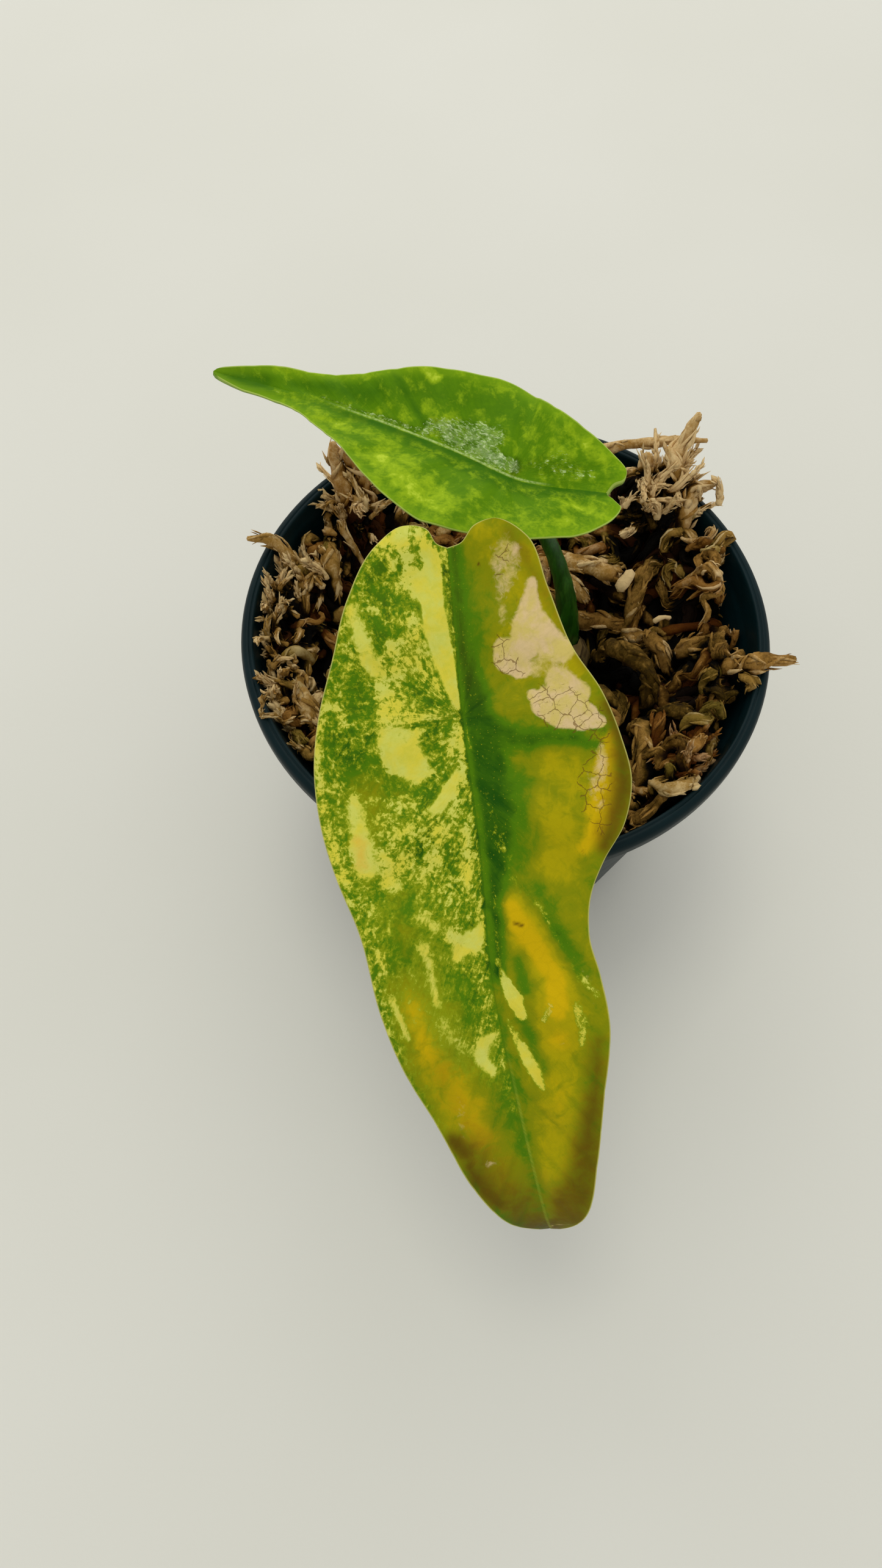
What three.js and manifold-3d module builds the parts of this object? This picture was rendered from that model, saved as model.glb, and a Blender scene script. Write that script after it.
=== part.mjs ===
// A small variegated aroid plant in a plastic nursery pot filled with long-fibre moss.
// Millimetres, +Z up, the pot stands on z = 0 and the front of the picture is -Y.
import * as THREE from "three";
import { mergeVertices } from "three/addons/utils/BufferGeometryUtils.js";
import Module from "manifold-3d";

// Pot
const POT_HEIGHT = 80;
const RIM_RADIUS = 50;
const BASE_RADIUS = 35;
const COLLAR_RADIUS = 46.8;
const COLLAR_BOTTOM = 68;
const WALL = 1.3;
const FLOOR_TOP = 2.6;
const COLLAR_STEP = 1.4;
const LIP_DEPTH = 4;
const LIP_INNER_RADIUS = 47.4;
const CENTRE_DISC_RADIUS = 22;
const FOOT_INNER_RADIUS = 31.8;
const CHANNEL_RISE = 1.1;
const POT_SEGMENTS = 48;
const DRAIN_HOLES = 8;
const DRAIN_HOLE_RADIUS = 3.2;
const DRAIN_CIRCLE_RADIUS = 27;

// Clear distance kept between neighbouring pieces
const GAP = 0.35;

// Moss
const MOSS_TOP = 66;
const STRANDS = 46;
const STRAND_SPREAD = 42;
const STRAND_SIDES = 4;
const STRAND_POINTS = 4;
const ROOT_DEPTH = 2.2;

// Plant: where the stalks leave the rhizome
const CROWN = [11.8, 3.4];
const CROWN_TOP = 66;
const ROOTS = 6;
const BLADE_THICKNESS = 0.8;
const MIDRIB_THICKNESS = 1.3;
const MIDRIB_HALF_WIDTH = 1.7;
const MARGIN_WAVE = 0.7;
// The first row of a blade lies this share of its length behind the very tip, so the tip keeps a width
const TIP_START = 0.012;

const wasm = await Module();
wasm.setup();

// Helpers

const clamp = (value, low, high) => Math.min(Math.max(value, low), high);

// A repeatable draw between 0 and 1 for item i and property k
const draw = (i, k) => {
  const value = Math.sin(i * 12.9898 + k * 78.233) * 43758.5453;
  return value - Math.floor(value);
};

// Smooth curve through knots (xs, ys), with slopes weighted by the spacing of the knots
function spline(x, xs, ys) {
  const last = xs.length - 1;
  let i = 0;
  while (i < last - 1 && x > xs[i + 1]) i += 1;
  const slope = (k) => (ys[k + 1] - ys[k]) / (xs[k + 1] - xs[k]);
  const tangent = (k) => {
    if (k === 0) return slope(0);
    if (k === last) return slope(last - 1);
    const before = xs[k] - xs[k - 1];
    const after = xs[k + 1] - xs[k];
    return (slope(k - 1) * after + slope(k) * before) / (before + after);
  };
  const h = xs[i + 1] - xs[i];
  const t = (x - xs[i]) / h;
  const t2 = t * t;
  const t3 = t2 * t;
  return (
    (2 * t3 - 3 * t2 + 1) * ys[i] +
    (t3 - 2 * t2 + t) * h * tangent(i) +
    (3 * t2 - 2 * t3) * ys[i + 1] +
    (t3 - t2) * h * tangent(i + 1)
  );
}

// Distances along a row of points, from its first point
function lengths(points) {
  const along = [0];
  for (let i = 1; i < points.length; i += 1) {
    along.push(along[i - 1] + Math.hypot(...points[i].map((v, k) => v - points[i - 1][k])));
  }
  return along;
}

function splinePoint(x, xs, points) {
  return points[0].map((_, k) => spline(x, xs, points.map((point) => point[k])));
}

function geometryOf(vertices, faces) {
  const geometry = new THREE.BufferGeometry();
  geometry.setAttribute("position", new THREE.Float32BufferAttribute(vertices.flat(), 3));
  geometry.setIndex(faces.flat());
  return geometry;
}

// A geometry as a solid that can be joined and cut
function solid(geometry) {
  const bare = geometry.clone();
  bare.deleteAttribute("normal");
  bare.deleteAttribute("uv");
  const merged = mergeVertices(bare, 1e-4);
  return new wasm.Manifold(
    new wasm.Mesh({
      numProp: 3,
      vertProperties: new Float32Array(merged.attributes.position.array),
      triVerts: new Uint32Array(merged.index.array),
    }),
  );
}

function geometryFrom(body) {
  const mesh = body.getMesh();
  const geometry = new THREE.BufferGeometry();
  geometry.setAttribute("position", new THREE.BufferAttribute(mesh.vertProperties, 3));
  geometry.setIndex(new THREE.BufferAttribute(mesh.triVerts, 1));
  return geometry;
}

function named(name, geometry, colour, roughness) {
  const shaded = geometry.toNonIndexed();
  shaded.computeVertexNormals();
  const material = new THREE.MeshStandardMaterial({ color: colour, roughness, metalness: 0 });
  const mesh = new THREE.Mesh(shaded, material);
  mesh.name = name;
  return mesh;
}

function lathe(profile, segments) {
  const points = profile.map(([r, z]) => new THREE.Vector2(r, z));
  return new THREE.LatheGeometry(points, segments).rotateX(Math.PI / 2);
}

// A closed tube round a path: rings of `sides` corners with one radius per path point, flat ends
function tube(path, radii, sides) {
  const points = path.map((point) => new THREE.Vector3(...point));
  const tangents = points.map((_, i) => {
    const before = points[Math.max(i - 1, 0)];
    const after = points[Math.min(i + 1, points.length - 1)];
    return after.clone().sub(before).normalize();
  });
  let side = new THREE.Vector3(0, 0, 1);
  if (Math.abs(tangents[0].z) > 0.9) side.set(1, 0, 0);
  const vertices = [];
  points.forEach((point, i) => {
    side = side.addScaledVector(tangents[i], -side.dot(tangents[i])).normalize();
    const other = new THREE.Vector3().crossVectors(tangents[i], side);
    for (let k = 0; k < sides; k += 1) {
      const angle = (2 * Math.PI * k) / sides;
      const corner = point
        .clone()
        .addScaledVector(side, radii[i] * Math.cos(angle))
        .addScaledVector(other, radii[i] * Math.sin(angle));
      vertices.push(corner.toArray());
    }
  });
  const faces = [];
  const end = (points.length - 1) * sides;
  for (let i = 0; i < points.length - 1; i += 1) {
    for (let k = 0; k < sides; k += 1) {
      const a = i * sides + k;
      const b = i * sides + ((k + 1) % sides);
      faces.push([a, b, b + sides], [a, b + sides, a + sides]);
    }
  }
  for (let k = 1; k < sides - 1; k += 1) {
    faces.push([0, k + 1, k], [end, end + k, end + k + 1]);
  }
  return geometryOf(vertices, faces);
}

// The tube through a few control points, with a radius at each of them
function smoothTube(control, radii, steps, sides, grow = 0) {
  const along = lengths(control);
  const path = [];
  const sizes = [];
  for (let i = 0; i <= steps; i += 1) {
    const x = (along[along.length - 1] * i) / steps;
    path.push(splinePoint(x, along, control));
    sizes.push(spline(x, along, radii) + grow);
  }
  return tube(path, sizes, sides);
}

// Pot

// Outer radius of the tapered wall at height z
const wallRadius = (z) => BASE_RADIUS + ((COLLAR_RADIUS - COLLAR_STEP - BASE_RADIUS) * z) / COLLAR_BOTTOM;
// Inner radius of the pot at height z: it widens faster inside the collar
const innerRadius = (z) =>
  wallRadius(Math.min(z, COLLAR_BOTTOM)) - WALL + Math.max(z - COLLAR_BOTTOM, 0) * 0.32;

function potGeometry() {
  const top = POT_HEIGHT;
  const under = top - LIP_DEPTH;
  const profile = [
    [0, 0],
    [CENTRE_DISC_RADIUS, 0],
    [CENTRE_DISC_RADIUS + 0.8, CHANNEL_RISE],
    [FOOT_INNER_RADIUS - 0.8, CHANNEL_RISE],
    [FOOT_INNER_RADIUS, 0],
    [BASE_RADIUS - 0.6, 0],
    [BASE_RADIUS, 0.6],
    [wallRadius(COLLAR_BOTTOM), COLLAR_BOTTOM],
    [COLLAR_RADIUS, COLLAR_BOTTOM + 1],
    [COLLAR_RADIUS + 0.7, under],
    [RIM_RADIUS - 0.5, under],
    [RIM_RADIUS, under + 0.6],
    [RIM_RADIUS, top - 1.3],
    [RIM_RADIUS - 0.4, top - 0.4],
    [RIM_RADIUS - 1.1, top],
    [LIP_INNER_RADIUS + 1.2, top],
    [LIP_INNER_RADIUS + 0.2, top - 0.4],
    [innerRadius(under), under - 1],
    [innerRadius(COLLAR_BOTTOM), COLLAR_BOTTOM],
    [innerRadius(FLOOR_TOP), FLOOR_TOP],
    [0, FLOOR_TOP],
  ];
  let body = solid(lathe(profile, POT_SEGMENTS));
  for (let i = 0; i < DRAIN_HOLES; i += 1) {
    const angle = (2 * Math.PI * (i + 0.5)) / DRAIN_HOLES;
    const hole = new THREE.CylinderGeometry(DRAIN_HOLE_RADIUS, DRAIN_HOLE_RADIUS, 8, 10)
      .rotateX(Math.PI / 2)
      .translate(DRAIN_CIRCLE_RADIUS * Math.cos(angle), DRAIN_CIRCLE_RADIUS * Math.sin(angle), 1);
    body = body.subtract(solid(hole));
  }
  return geometryFrom(body);
}

// Blades

// A blade is described in its own flat millimetres: p runs along the midrib from the stalk towards the
// tip, q across it. `midrib` bends that line through space, `across` is the direction of positive q.
const LARGE_BLADE = {
  midrib: [
    [-11.2, -13.3, 119.3],
    [-8.9, -34.9, 105.8],
    [-6.1, -53.6, 95.9],
    [-4.3, -70.4, 86.9],
    [-0.6, -86.4, 77.1],
    [2.6, -97.7, 68.5],
    [5, -104, 60.5],
    [6.8, -105.6, 52.5],
  ],
  across: [1, 0, 0],
  tip: 91,
  notch: -25.7,
  sinus: [
    [[-25.7, 0], [-26.4, -1.5], [-28.6, -2.8], [-29.5, -6.5]],
    [[-25.7, 0], [-26.2, 2], [-28.6, 4.3], [-29.4, 7.4]],
  ],
  edge: [
    [
      [-29.5, -6.5], [-26.8, -11], [-19.2, -15.9], [-10, -19.2], [-2.2, -22.2], [4.2, -23.9], [13.5, -24.3],
      [23, -22.8], [34, -19.4], [44, -18.1], [52.8, -16.4], [63.6, -12.9], [75, -9.6], [84, -5.4], [91, -0.4],
    ],
    [
      [-29.4, 7.4], [-26.5, 12.2], [-18.7, 14.9], [-9.2, 18], [-1.9, 21.9], [6.3, 24.2], [13.4, 25],
      [19.5, 23], [24.2, 19.2], [29, 16.8], [35, 16], [43, 16.9], [51, 17], [62.7, 14], [74, 10.7], [84, 7],
      [91, 0.4],
    ],
  ],
  lean: [0.13, 0.13],
  bend: 0.0065,
  quilt: 0.45,
  veins: 8,
};

const YOUNG_BLADE = {
  midrib: [
    [15.6, 5.7, 109.4],
    [-0.6, 9.3, 108.9],
    [-8.8, 13, 110.1],
    [-19.1, 17.5, 111.1],
    [-29.2, 22.6, 110.7],
    [-39, 27.4, 110.2],
    [-46.8, 30.8, 109.6],
    [-51.8, 31.3, 110.9],
  ],
  across: [0, -1, 0],
  tip: 57.5,
  notch: -16.5,
  sinus: [
    [[-16.5, 0], [-17.3, -1.4], [-18.8, -2.5], [-19.1, -4.6]],
    [[-16.5, 0], [-16.7, 0.8], [-17.8, 1.9], [-19.2, 3.2]],
  ],
  edge: [
    [
      [-19.1, -4.6], [-16.3, -7.1], [-11.7, -10.5], [-5.5, -14], [1, -16.2], [7, -17.2], [12.7, -15.4],
      [20.1, -12.4], [26, -9.7], [32, -7.3], [39, -4.9], [46, -3.7], [52, -2.2], [57.5, -0.4],
    ],
    [
      [-19.2, 3.2], [-18.4, 6], [-15.1, 9.4], [-8, 12.4], [-1, 15.3], [4.4, 17.6], [8.5, 17.9],
      [14.8, 15.9], [20.5, 12.9], [27.1, 8.8], [32.7, 6.6], [38.5, 3.9], [46, 2.8], [52, 2.9], [57.5, 0.4],
    ],
  ],
  lean: [0.45, 0.26],
  bend: 0.008,
  quilt: 0.35,
  veins: 7,
};

// The midrib line and its frame at p: point, direction, direction across, and upward normal
function midribFrame(blade, p) {
  const along = lengths(blade.midrib);
  const knots = along.map((v) => v - along[1]);
  const first = knots[0];
  const last = knots[knots.length - 1];
  const at = (v) => new THREE.Vector3(...splinePoint(v, knots, blade.midrib));
  const inside = clamp(p, first, last);
  const direction = at(Math.min(inside + 0.01, last)).sub(at(Math.max(inside - 0.01, first))).normalize();
  const point = at(inside).addScaledVector(direction, p - inside);
  const across = new THREE.Vector3(...blade.across);
  across.addScaledVector(direction, -across.dot(direction)).normalize();
  return { point, direction, across, normal: new THREE.Vector3().crossVectors(direction, across) };
}

// Stalks and rhizome

// Each stalk: control points from the rhizome up, and its radius at each, then at its seat under the blade
const LARGE_STALK = {
  path: [
    [9, 0.6, 63.5],
    [8.2, -1.4, 70],
    [2.5, -12, 84],
    [-4.4, -25, 96],
  ],
  radii: [2.4, 2.5, 1.9, 1.6, 1.7, 2],
};
const YOUNG_STALK = {
  path: [
    [13.9, 5.6, 63.5],
    [13, 5.4, 71],
    [10.4, 6.6, 85],
    [5.2, 8.6, 97],
  ],
  radii: [2.1, 2.2, 1.7, 1.4, 1.4, 1.7],
};
// A sheath that wraps the foot of the large stalk
const SHEATH = {
  path: [
    [9.3, 0, 67.5],
    [8.2, -2.2, 72],
    [5.8, -6.2, 77.5],
  ],
  radii: [2.8, 2.7, 1.6],
};

// The stalk bends into the underside of its blade and ends just below the midrib
function stalk({ path, radii }, blade, grow) {
  const seat = midribFrame(blade, 0);
  const below = (distance) => seat.point.clone().addScaledVector(seat.normal, -distance).toArray();
  const depth = BLADE_THICKNESS + MIDRIB_THICKNESS + GAP;
  return solid(smoothTube([...path, below(depth + 4), below(depth)], radii, 10, 8, grow));
}

function largeStalk(grow) {
  const sheath = solid(smoothTube(SHEATH.path, SHEATH.radii, 4, 8, grow));
  return stalk(LARGE_STALK, LARGE_BLADE, grow).add(sheath);
}

const youngStalk = (grow) => stalk(YOUNG_STALK, YOUNG_BLADE, grow);

// Rhizome: an upright knobbly body with roots that spread down and out through the moss
function rhizome(grow) {
  const profile = [
    [0, 38 - grow],
    [3.5 + grow, 40 - grow],
    [6.2 + grow, 47],
    [5.4 + grow, 51],
    [7 + grow, 57],
    [6.4 + grow, 63],
    [4.6 + grow, CROWN_TOP + grow],
    [0, CROWN_TOP + grow],
  ];
  let body = solid(lathe(profile, 12).translate(CROWN[0], CROWN[1], 0));
  for (let i = 0; i < ROOTS; i += 1) {
    const angle = i * 2.4 + 0.4;
    const reach = 15 + 9 * draw(i, 1);
    const drop = 12 + 16 * draw(i, 2);
    const start = 44 + 8 * draw(i, 3);
    const at = (distance, height) => [
      CROWN[0] * (1 - distance / 40) + distance * Math.cos(angle + distance * 0.012),
      CROWN[1] + distance * Math.sin(angle + distance * 0.012),
      height,
    ];
    const control = [at(3, start), at(10, start - drop * 0.25), at(reach, start - drop)];
    body = body.add(solid(smoothTube(control, [1.5, 1.3, 0.9], 5, 5, grow)));
  }
  return body;
}

// Moss

// Height of the packed moss at x, y: bumps, a lower ring beside the wall, a hollow beside the stalks
function mossHeight(x, y) {
  const r = Math.hypot(x, y);
  const broad = 1.5 * Math.sin(x * 0.21 + 1.3) * Math.cos(y * 0.19 - 0.6);
  const bumps = broad + 0.9 * Math.sin(x * 0.47 - y * 0.38);
  const ring = -4 * clamp((r - 36) / 8, 0, 1) ** 2;
  const hollow = -7 * Math.exp(-((x - 21) ** 2 + (y - 2) ** 2) / 60);
  return MOSS_TOP + bumps + ring + hollow + 0.05 * x;
}

function mossCore() {
  const segments = 36;
  const rings = [
    [8, FLOOR_TOP + GAP],
    [innerRadius(FLOOR_TOP) - GAP - 0.4, FLOOR_TOP + GAP],
    [innerRadius(30) - GAP - 0.05, 30],
    [innerRadius(58) - GAP - 0.05, 58],
    [41.5, null],
    [34, null],
    [26, null],
    [17, null],
    [8, null],
  ];
  const vertices = [];
  rings.forEach(([r, z]) => {
    for (let k = 0; k < segments; k += 1) {
      const angle = (2 * Math.PI * k) / segments;
      const x = r * Math.cos(angle);
      const y = r * Math.sin(angle);
      vertices.push([x, y, z ?? mossHeight(x, y)]);
    }
  });
  const bottom = vertices.push([0, 0, FLOOR_TOP + GAP]) - 1;
  const top = vertices.push([0, 0, mossHeight(0, 0)]) - 1;
  const faces = [];
  for (let k = 0; k < segments; k += 1) {
    const next = (k + 1) % segments;
    faces.push([bottom, next, k]);
    for (let i = 0; i < rings.length - 1; i += 1) {
      const a = i * segments + k;
      const b = i * segments + next;
      faces.push([a, b, b + segments], [a, b + segments, a + segments]);
    }
    const last = (rings.length - 1) * segments;
    faces.push([top, last + k, last + next]);
  }
  return solid(geometryOf(vertices, faces));
}

// Moves a path point of a strand inside the pot wall and clear of the leaning stalks
function clear([x, y, z], radius) {
  const limit = innerRadius(z) - radius - 2 * GAP;
  const inward = Math.min(1, limit / Math.hypot(x, y));
  const dx = x * inward - (CROWN[0] - (z - CROWN_TOP) * 0.25);
  const dy = y * inward - (CROWN[1] - (z - CROWN_TOP) * 0.3);
  const push = Math.max(1, (5 + radius) / Math.hypot(dx, dy));
  return [x * inward + dx * (push - 1), y * inward + dy * (push - 1), z];
}

// Strand i: an arched, slightly curled piece whose ends are sunk in the packed moss
function strand(i) {
  const r = STRAND_SPREAD * Math.sqrt((i + 0.5) / STRANDS);
  const turn = i * 2.39996;
  const heading = 2 * Math.PI * draw(i, 1);
  const length = 15 + 13 * draw(i, 2);
  const radius = 1.5 + 0.8 * draw(i, 3);
  const curl = 6 * (draw(i, 4) - 0.5);
  const lift = 1.2 + 4.2 * draw(i, 5) ** 1.5;
  const path = [];
  const radii = [];
  for (let k = 0; k < STRAND_POINTS; k += 1) {
    const t = k / (STRAND_POINTS - 1);
    const bow = Math.sin(Math.PI * t);
    const s = (t - 0.5) * length;
    const size = radius * (0.62 + 0.38 * bow);
    const x = r * Math.cos(turn) + s * Math.cos(heading) - curl * bow * Math.sin(heading);
    const y = r * Math.sin(turn) + s * Math.sin(heading) + curl * bow * Math.cos(heading);
    path.push(clear([x, y, mossHeight(x, y) - ROOT_DEPTH + (ROOT_DEPTH + lift) * bow], size));
    radii.push(size);
  }
  return tube(path, radii, STRAND_SIDES);
}

// Strands that stand out in the picture: control points and the radius at each
const STANDING_STRANDS = [
  // tuft at the back right, above the rim
  [[[29, 28, 61], [31, 31.5, 77], [34.5, 34.5, 88], [37.5, 38, 94]], [2.6, 2.4, 2, 0.8]],
  [[[26, 28, 61], [28.4, 31, 78], [28.6, 32, 85], [27.8, 32.3, 89]], [2.4, 2.6, 1.9, 1]],
  [[[32, 24, 61], [34, 27, 78], [34.4, 30.4, 85], [31.8, 33, 90]], [2.5, 2.6, 2, 0.9]],
  [[[34, 20, 61], [36, 24, 78], [38.1, 28, 84.6], [41.5, 27.6, 86.4]], [2.4, 2.3, 1.7, 0.8]],
  // twig along the back right rim
  [[[15, 33, 61], [20, 38.4, 83], [31, 38.4, 86], [40.5, 37.7, 87]], [1.3, 1.3, 1.2, 0.7]],
  // strands on and across the right rim
  [[[36, -3, 62], [42, -8.4, 77], [47.4, -10.3, 82.6], [52.5, -10.3, 83]], [2.2, 2.2, 1.8, 0.6]],
  [[[35, 1, 62], [38, -2, 75], [41, -2, 75], [40.5, 0, 62]], [2, 2.2, 1.8, 1]],
  [[[33, 24, 62], [37, 22, 77], [39.6, 18.5, 76], [38.5, 15, 62]], [1.9, 2, 1.8, 1.3]],
  [[[36, -17, 62], [39, -15.6, 75], [41, -12, 75], [39, -8, 62]], [1.9, 2, 1.6, 1.2]],
  // tufts on and across the left rim
  [[[-28, 27, 60], [-31, 30.5, 78], [-33, 34.5, 84.5], [-33.4, 36.3, 88]], [2.2, 2.3, 1.8, 0.8]],
  [[[-25, 29, 60], [-27.5, 33, 77], [-30, 35, 84], [-32, 35, 87]], [2, 2, 1.6, 0.8]],
  [[[-37, 13, 60], [-41, 15, 77], [-45.5, 17, 82.6], [-49.5, 16.8, 83]], [1.8, 1.7, 1.3, 0.6]],
  [[[-37, 2, 60], [-40.6, 9.3, 75], [-38.4, 13, 76], [-33, 18, 60]], [2, 2.3, 2.1, 1.4]],
  [[[-32, 24, 60], [-34.6, 22, 74], [-34, 16.6, 75], [-33, 11, 60]], [1.9, 2.1, 1.9, 1.4]],
  [[[-37, -4, 60], [-39.4, -11, 74], [-37, -16, 74], [-32, -18, 60]], [2, 2.3, 2.1, 1.4]],
  // thick curled strands beside the stalks and in front
  [[[12, 26, 63], [15, 17.6, 74], [19.7, 15.2, 75], [25, 22, 62]], [1.9, 2.2, 2.1, 1.5]],
  [[[15, 24, 63], [13.2, 15, 72.5], [15, 12.6, 72], [18, 18, 62]], [1.7, 1.9, 1.8, 1.4]],
  [[[20, 2, 58], [22, -1.7, 73], [26.5, -6.8, 75], [28, -14, 61]], [2, 2.4, 2.3, 1.7]],
  [[[25.4, -16, 61], [25.4, -20, 73], [25, -28, 74], [24, -34, 61]], [1.8, 2.2, 2.1, 1.4]],
];

// The room taken by the pot wall and its clearance, as a ring round the moss
function wallRoom() {
  const top = POT_HEIGHT + GAP;
  const low = COLLAR_BOTTOM - 20;
  const outside = RIM_RADIUS + 10;
  const profile = [
    [innerRadius(low) - GAP, low],
    [outside, low],
    [outside, top],
    [LIP_INNER_RADIUS - GAP, top],
    [innerRadius(POT_HEIGHT - LIP_DEPTH) - GAP, POT_HEIGHT - LIP_DEPTH - 1],
    [innerRadius(COLLAR_BOTTOM) - GAP, COLLAR_BOTTOM],
    [innerRadius(low) - GAP, low],
  ];
  return solid(lathe(profile, POT_SEGMENTS));
}

function mossGeometry() {
  let body = mossCore();
  const parts = [];
  for (let i = 0; i < STRANDS; i += 1) parts.push(solid(strand(i)));
  STANDING_STRANDS.forEach(([control, radii]) => parts.push(solid(smoothTube(control, radii, 5, 5))));
  parts.forEach((part) => {
    body = body.add(part);
  });
  [wallRoom(), rhizome(GAP), largeStalk(GAP), youngStalk(GAP)].forEach((room) => {
    body = body.subtract(room);
  });
  return geometryFrom(body);
}

// Blade surfaces

// Flat position of a blade: u from the tip (0) to the notch (1), v from the midrib (0) to the margin (1)
function flatPoint(blade, half, u, v) {
  const edge = blade.edge[half];
  const sinus = blade.sinus[half];
  const edgeAlong = lengths(edge);
  const margin = splinePoint(edgeAlong[edgeAlong.length - 1] * (1 - u), edgeAlong, edge);
  const sinusAlong = lengths(sinus);
  const bay = splinePoint(sinusAlong[sinusAlong.length - 1] * v, sinusAlong, sinus);
  const middle = [blade.tip + (blade.notch - blade.tip) * u, 0];
  const end = sinus[sinus.length - 1];
  return [0, 1].map((k) => {
    const chord = (1 - v) * sinus[0][k] + v * end[k];
    return (1 - v) * middle[k] + v * margin[k] + u ** 6 * (bay[k] - chord);
  });
}

// Lift of the blade above its midrib frame: the fold, the bend of the margin, and quilting between veins
function bladeLift(blade, half, u, v, p, q) {
  const fold = Math.abs(q) * Math.sin(blade.lean[half]) - blade.bend * q * q;
  const quilt = blade.quilt * Math.sin(Math.PI * v) * Math.sin(2 * Math.PI * (blade.veins * u + 0.6 * v));
  const wave = MARGIN_WAVE * v * v * Math.sin(u * 17 + half * 2);
  return fold + (quilt + wave) * clamp((blade.tip - p) / 25, 0, 1);
}

function bladeGeometry(blade, rows, columns) {
  const across = [];
  for (let k = -columns; k <= columns; k += 1) {
    across.push([k < 0 ? 0 : 1, (Math.abs(k) / columns) ** 1.35]);
  }
  const upper = [];
  const lower = [];
  for (let i = 0; i <= rows; i += 1) {
    const u = TIP_START + (1 - TIP_START) * (i / rows);
    across.forEach(([half, v]) => {
      const [p, q] = flatPoint(blade, half, u, v);
      const frame = midribFrame(blade, p);
      const lift = bladeLift(blade, half, u, v, p, q);
      const reach = q * Math.cos(blade.lean[half]);
      const point = frame.point
        .clone()
        .addScaledVector(frame.across, reach)
        .addScaledVector(frame.normal, lift);
      const taper = clamp((blade.tip - p) / 60, 0.15, 1);
      const rib = MIDRIB_THICKNESS * Math.exp(-((q / MIDRIB_HALF_WIDTH) ** 2)) * taper;
      upper.push(point.toArray());
      lower.push(point.clone().addScaledVector(frame.normal, -BLADE_THICKNESS - rib).toArray());
    });
  }
  const width = across.length;
  const under = upper.length;
  const faces = [];
  const quad = (a, b, c, d) => faces.push([a, b, c], [a, c, d]);
  for (let i = 0; i < rows; i += 1) {
    for (let k = 0; k < width - 1; k += 1) {
      const a = i * width + k;
      const b = a + 1;
      const c = b + width;
      const d = a + width;
      quad(a, b, c, d);
      faces.push([under + a, under + c, under + b], [under + a, under + d, under + c]);
    }
    const left = i * width;
    const right = left + width - 1;
    quad(left, left + width, under + left + width, under + left);
    quad(right, under + right, under + right + width, right + width);
  }
  for (let k = 0; k < width - 1; k += 1) {
    const top = rows * width + k;
    quad(k, under + k, under + k + 1, k + 1);
    quad(top, top + 1, under + top + 1, under + top);
  }
  return geometryOf([...upper, ...lower], faces);
}

// Assembly

const group = new THREE.Group();
group.name = "potted_aroid";
group.add(named("pot", potGeometry(), "#1c2429", 0.38));
group.add(named("sphagnum_moss", mossGeometry(), "#8c6a40", 0.92));
const rhizomeBody = rhizome(0).subtract(largeStalk(GAP)).subtract(youngStalk(GAP));
group.add(named("rhizome_and_roots", geometryFrom(rhizomeBody), "#7a6a45", 0.8));
group.add(named("petiole_large", geometryFrom(largeStalk(0)), "#4d6b24", 0.5));
group.add(named("petiole_young", geometryFrom(youngStalk(0)), "#2f5a1c", 0.45));
group.add(named("blade_large", bladeGeometry(LARGE_BLADE, 38, 6), "#7a8a24", 0.5));
group.add(named("blade_young", bladeGeometry(YOUNG_BLADE, 30, 5), "#5f9414", 0.4));

export default group;
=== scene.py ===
"""A small variegated aroid in a plastic nursery pot of long-fibre moss.

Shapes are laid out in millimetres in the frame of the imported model, +Z up, the front at -Y.
Blade markings are placed in blade millimetres: p from the stalk towards the tip, q across.
"""
import math

import bpy
import numpy as np
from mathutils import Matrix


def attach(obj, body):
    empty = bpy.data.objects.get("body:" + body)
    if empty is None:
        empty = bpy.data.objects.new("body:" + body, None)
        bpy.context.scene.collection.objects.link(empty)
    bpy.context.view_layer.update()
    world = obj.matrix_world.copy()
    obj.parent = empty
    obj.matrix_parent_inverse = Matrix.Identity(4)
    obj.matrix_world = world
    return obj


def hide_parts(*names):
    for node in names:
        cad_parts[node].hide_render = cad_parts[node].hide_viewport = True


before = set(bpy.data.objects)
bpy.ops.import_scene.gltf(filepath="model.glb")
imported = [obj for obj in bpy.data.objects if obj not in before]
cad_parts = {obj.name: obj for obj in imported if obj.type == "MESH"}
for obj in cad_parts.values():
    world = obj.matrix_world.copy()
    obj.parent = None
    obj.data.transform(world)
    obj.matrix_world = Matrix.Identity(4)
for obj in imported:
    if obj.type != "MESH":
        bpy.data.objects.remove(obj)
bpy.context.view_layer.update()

MM = 0.001
random = np.random.default_rng(11)

# Pot, as in the CAD model
POT_HEIGHT = 80
RIM_RADIUS = 50
BASE_RADIUS = 35
COLLAR_RADIUS = 46.8
COLLAR_BOTTOM = 68
COLLAR_STEP = 1.4
WALL = 1.3
FLOOR_TOP = 2.6
CHANNEL_RISE = 1.1
DRAIN_HOLES = 8
DRAIN_HOLE_RADIUS = 3.2
DRAIN_CIRCLE_RADIUS = 27
POT_SEGMENTS = 160

# Moss and stalks, as in the CAD model
MOSS_TOP = 66
STRANDS = 46
STRAND_SPREAD = 42
GOLDEN_ANGLE = 2.39996
CROWN = (11.8, 3.4)
CROWN_RADIUS = 4.6
HOLLOW = (21, 2)
MOSS_CLEARANCE = 0.35

# Stalks under the blades: depth of the seat under the blade, straight run below it, rings of a stalk
SEAT_DEPTH = 0.4
SEAT_RUN = 4.35
STALK_RINGS = 72

# Moss, in the scene alone
EDGE_RISE = 7.5
MOSS_LEAF_SIDES = 4
BRANCH_SIDES = 5
BRANCH_RINGS = 6
CORE_SEGMENTS = 120
CORE_TOP_RADIUS = 8.0
CORE_DEPTH = 2.6

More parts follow.
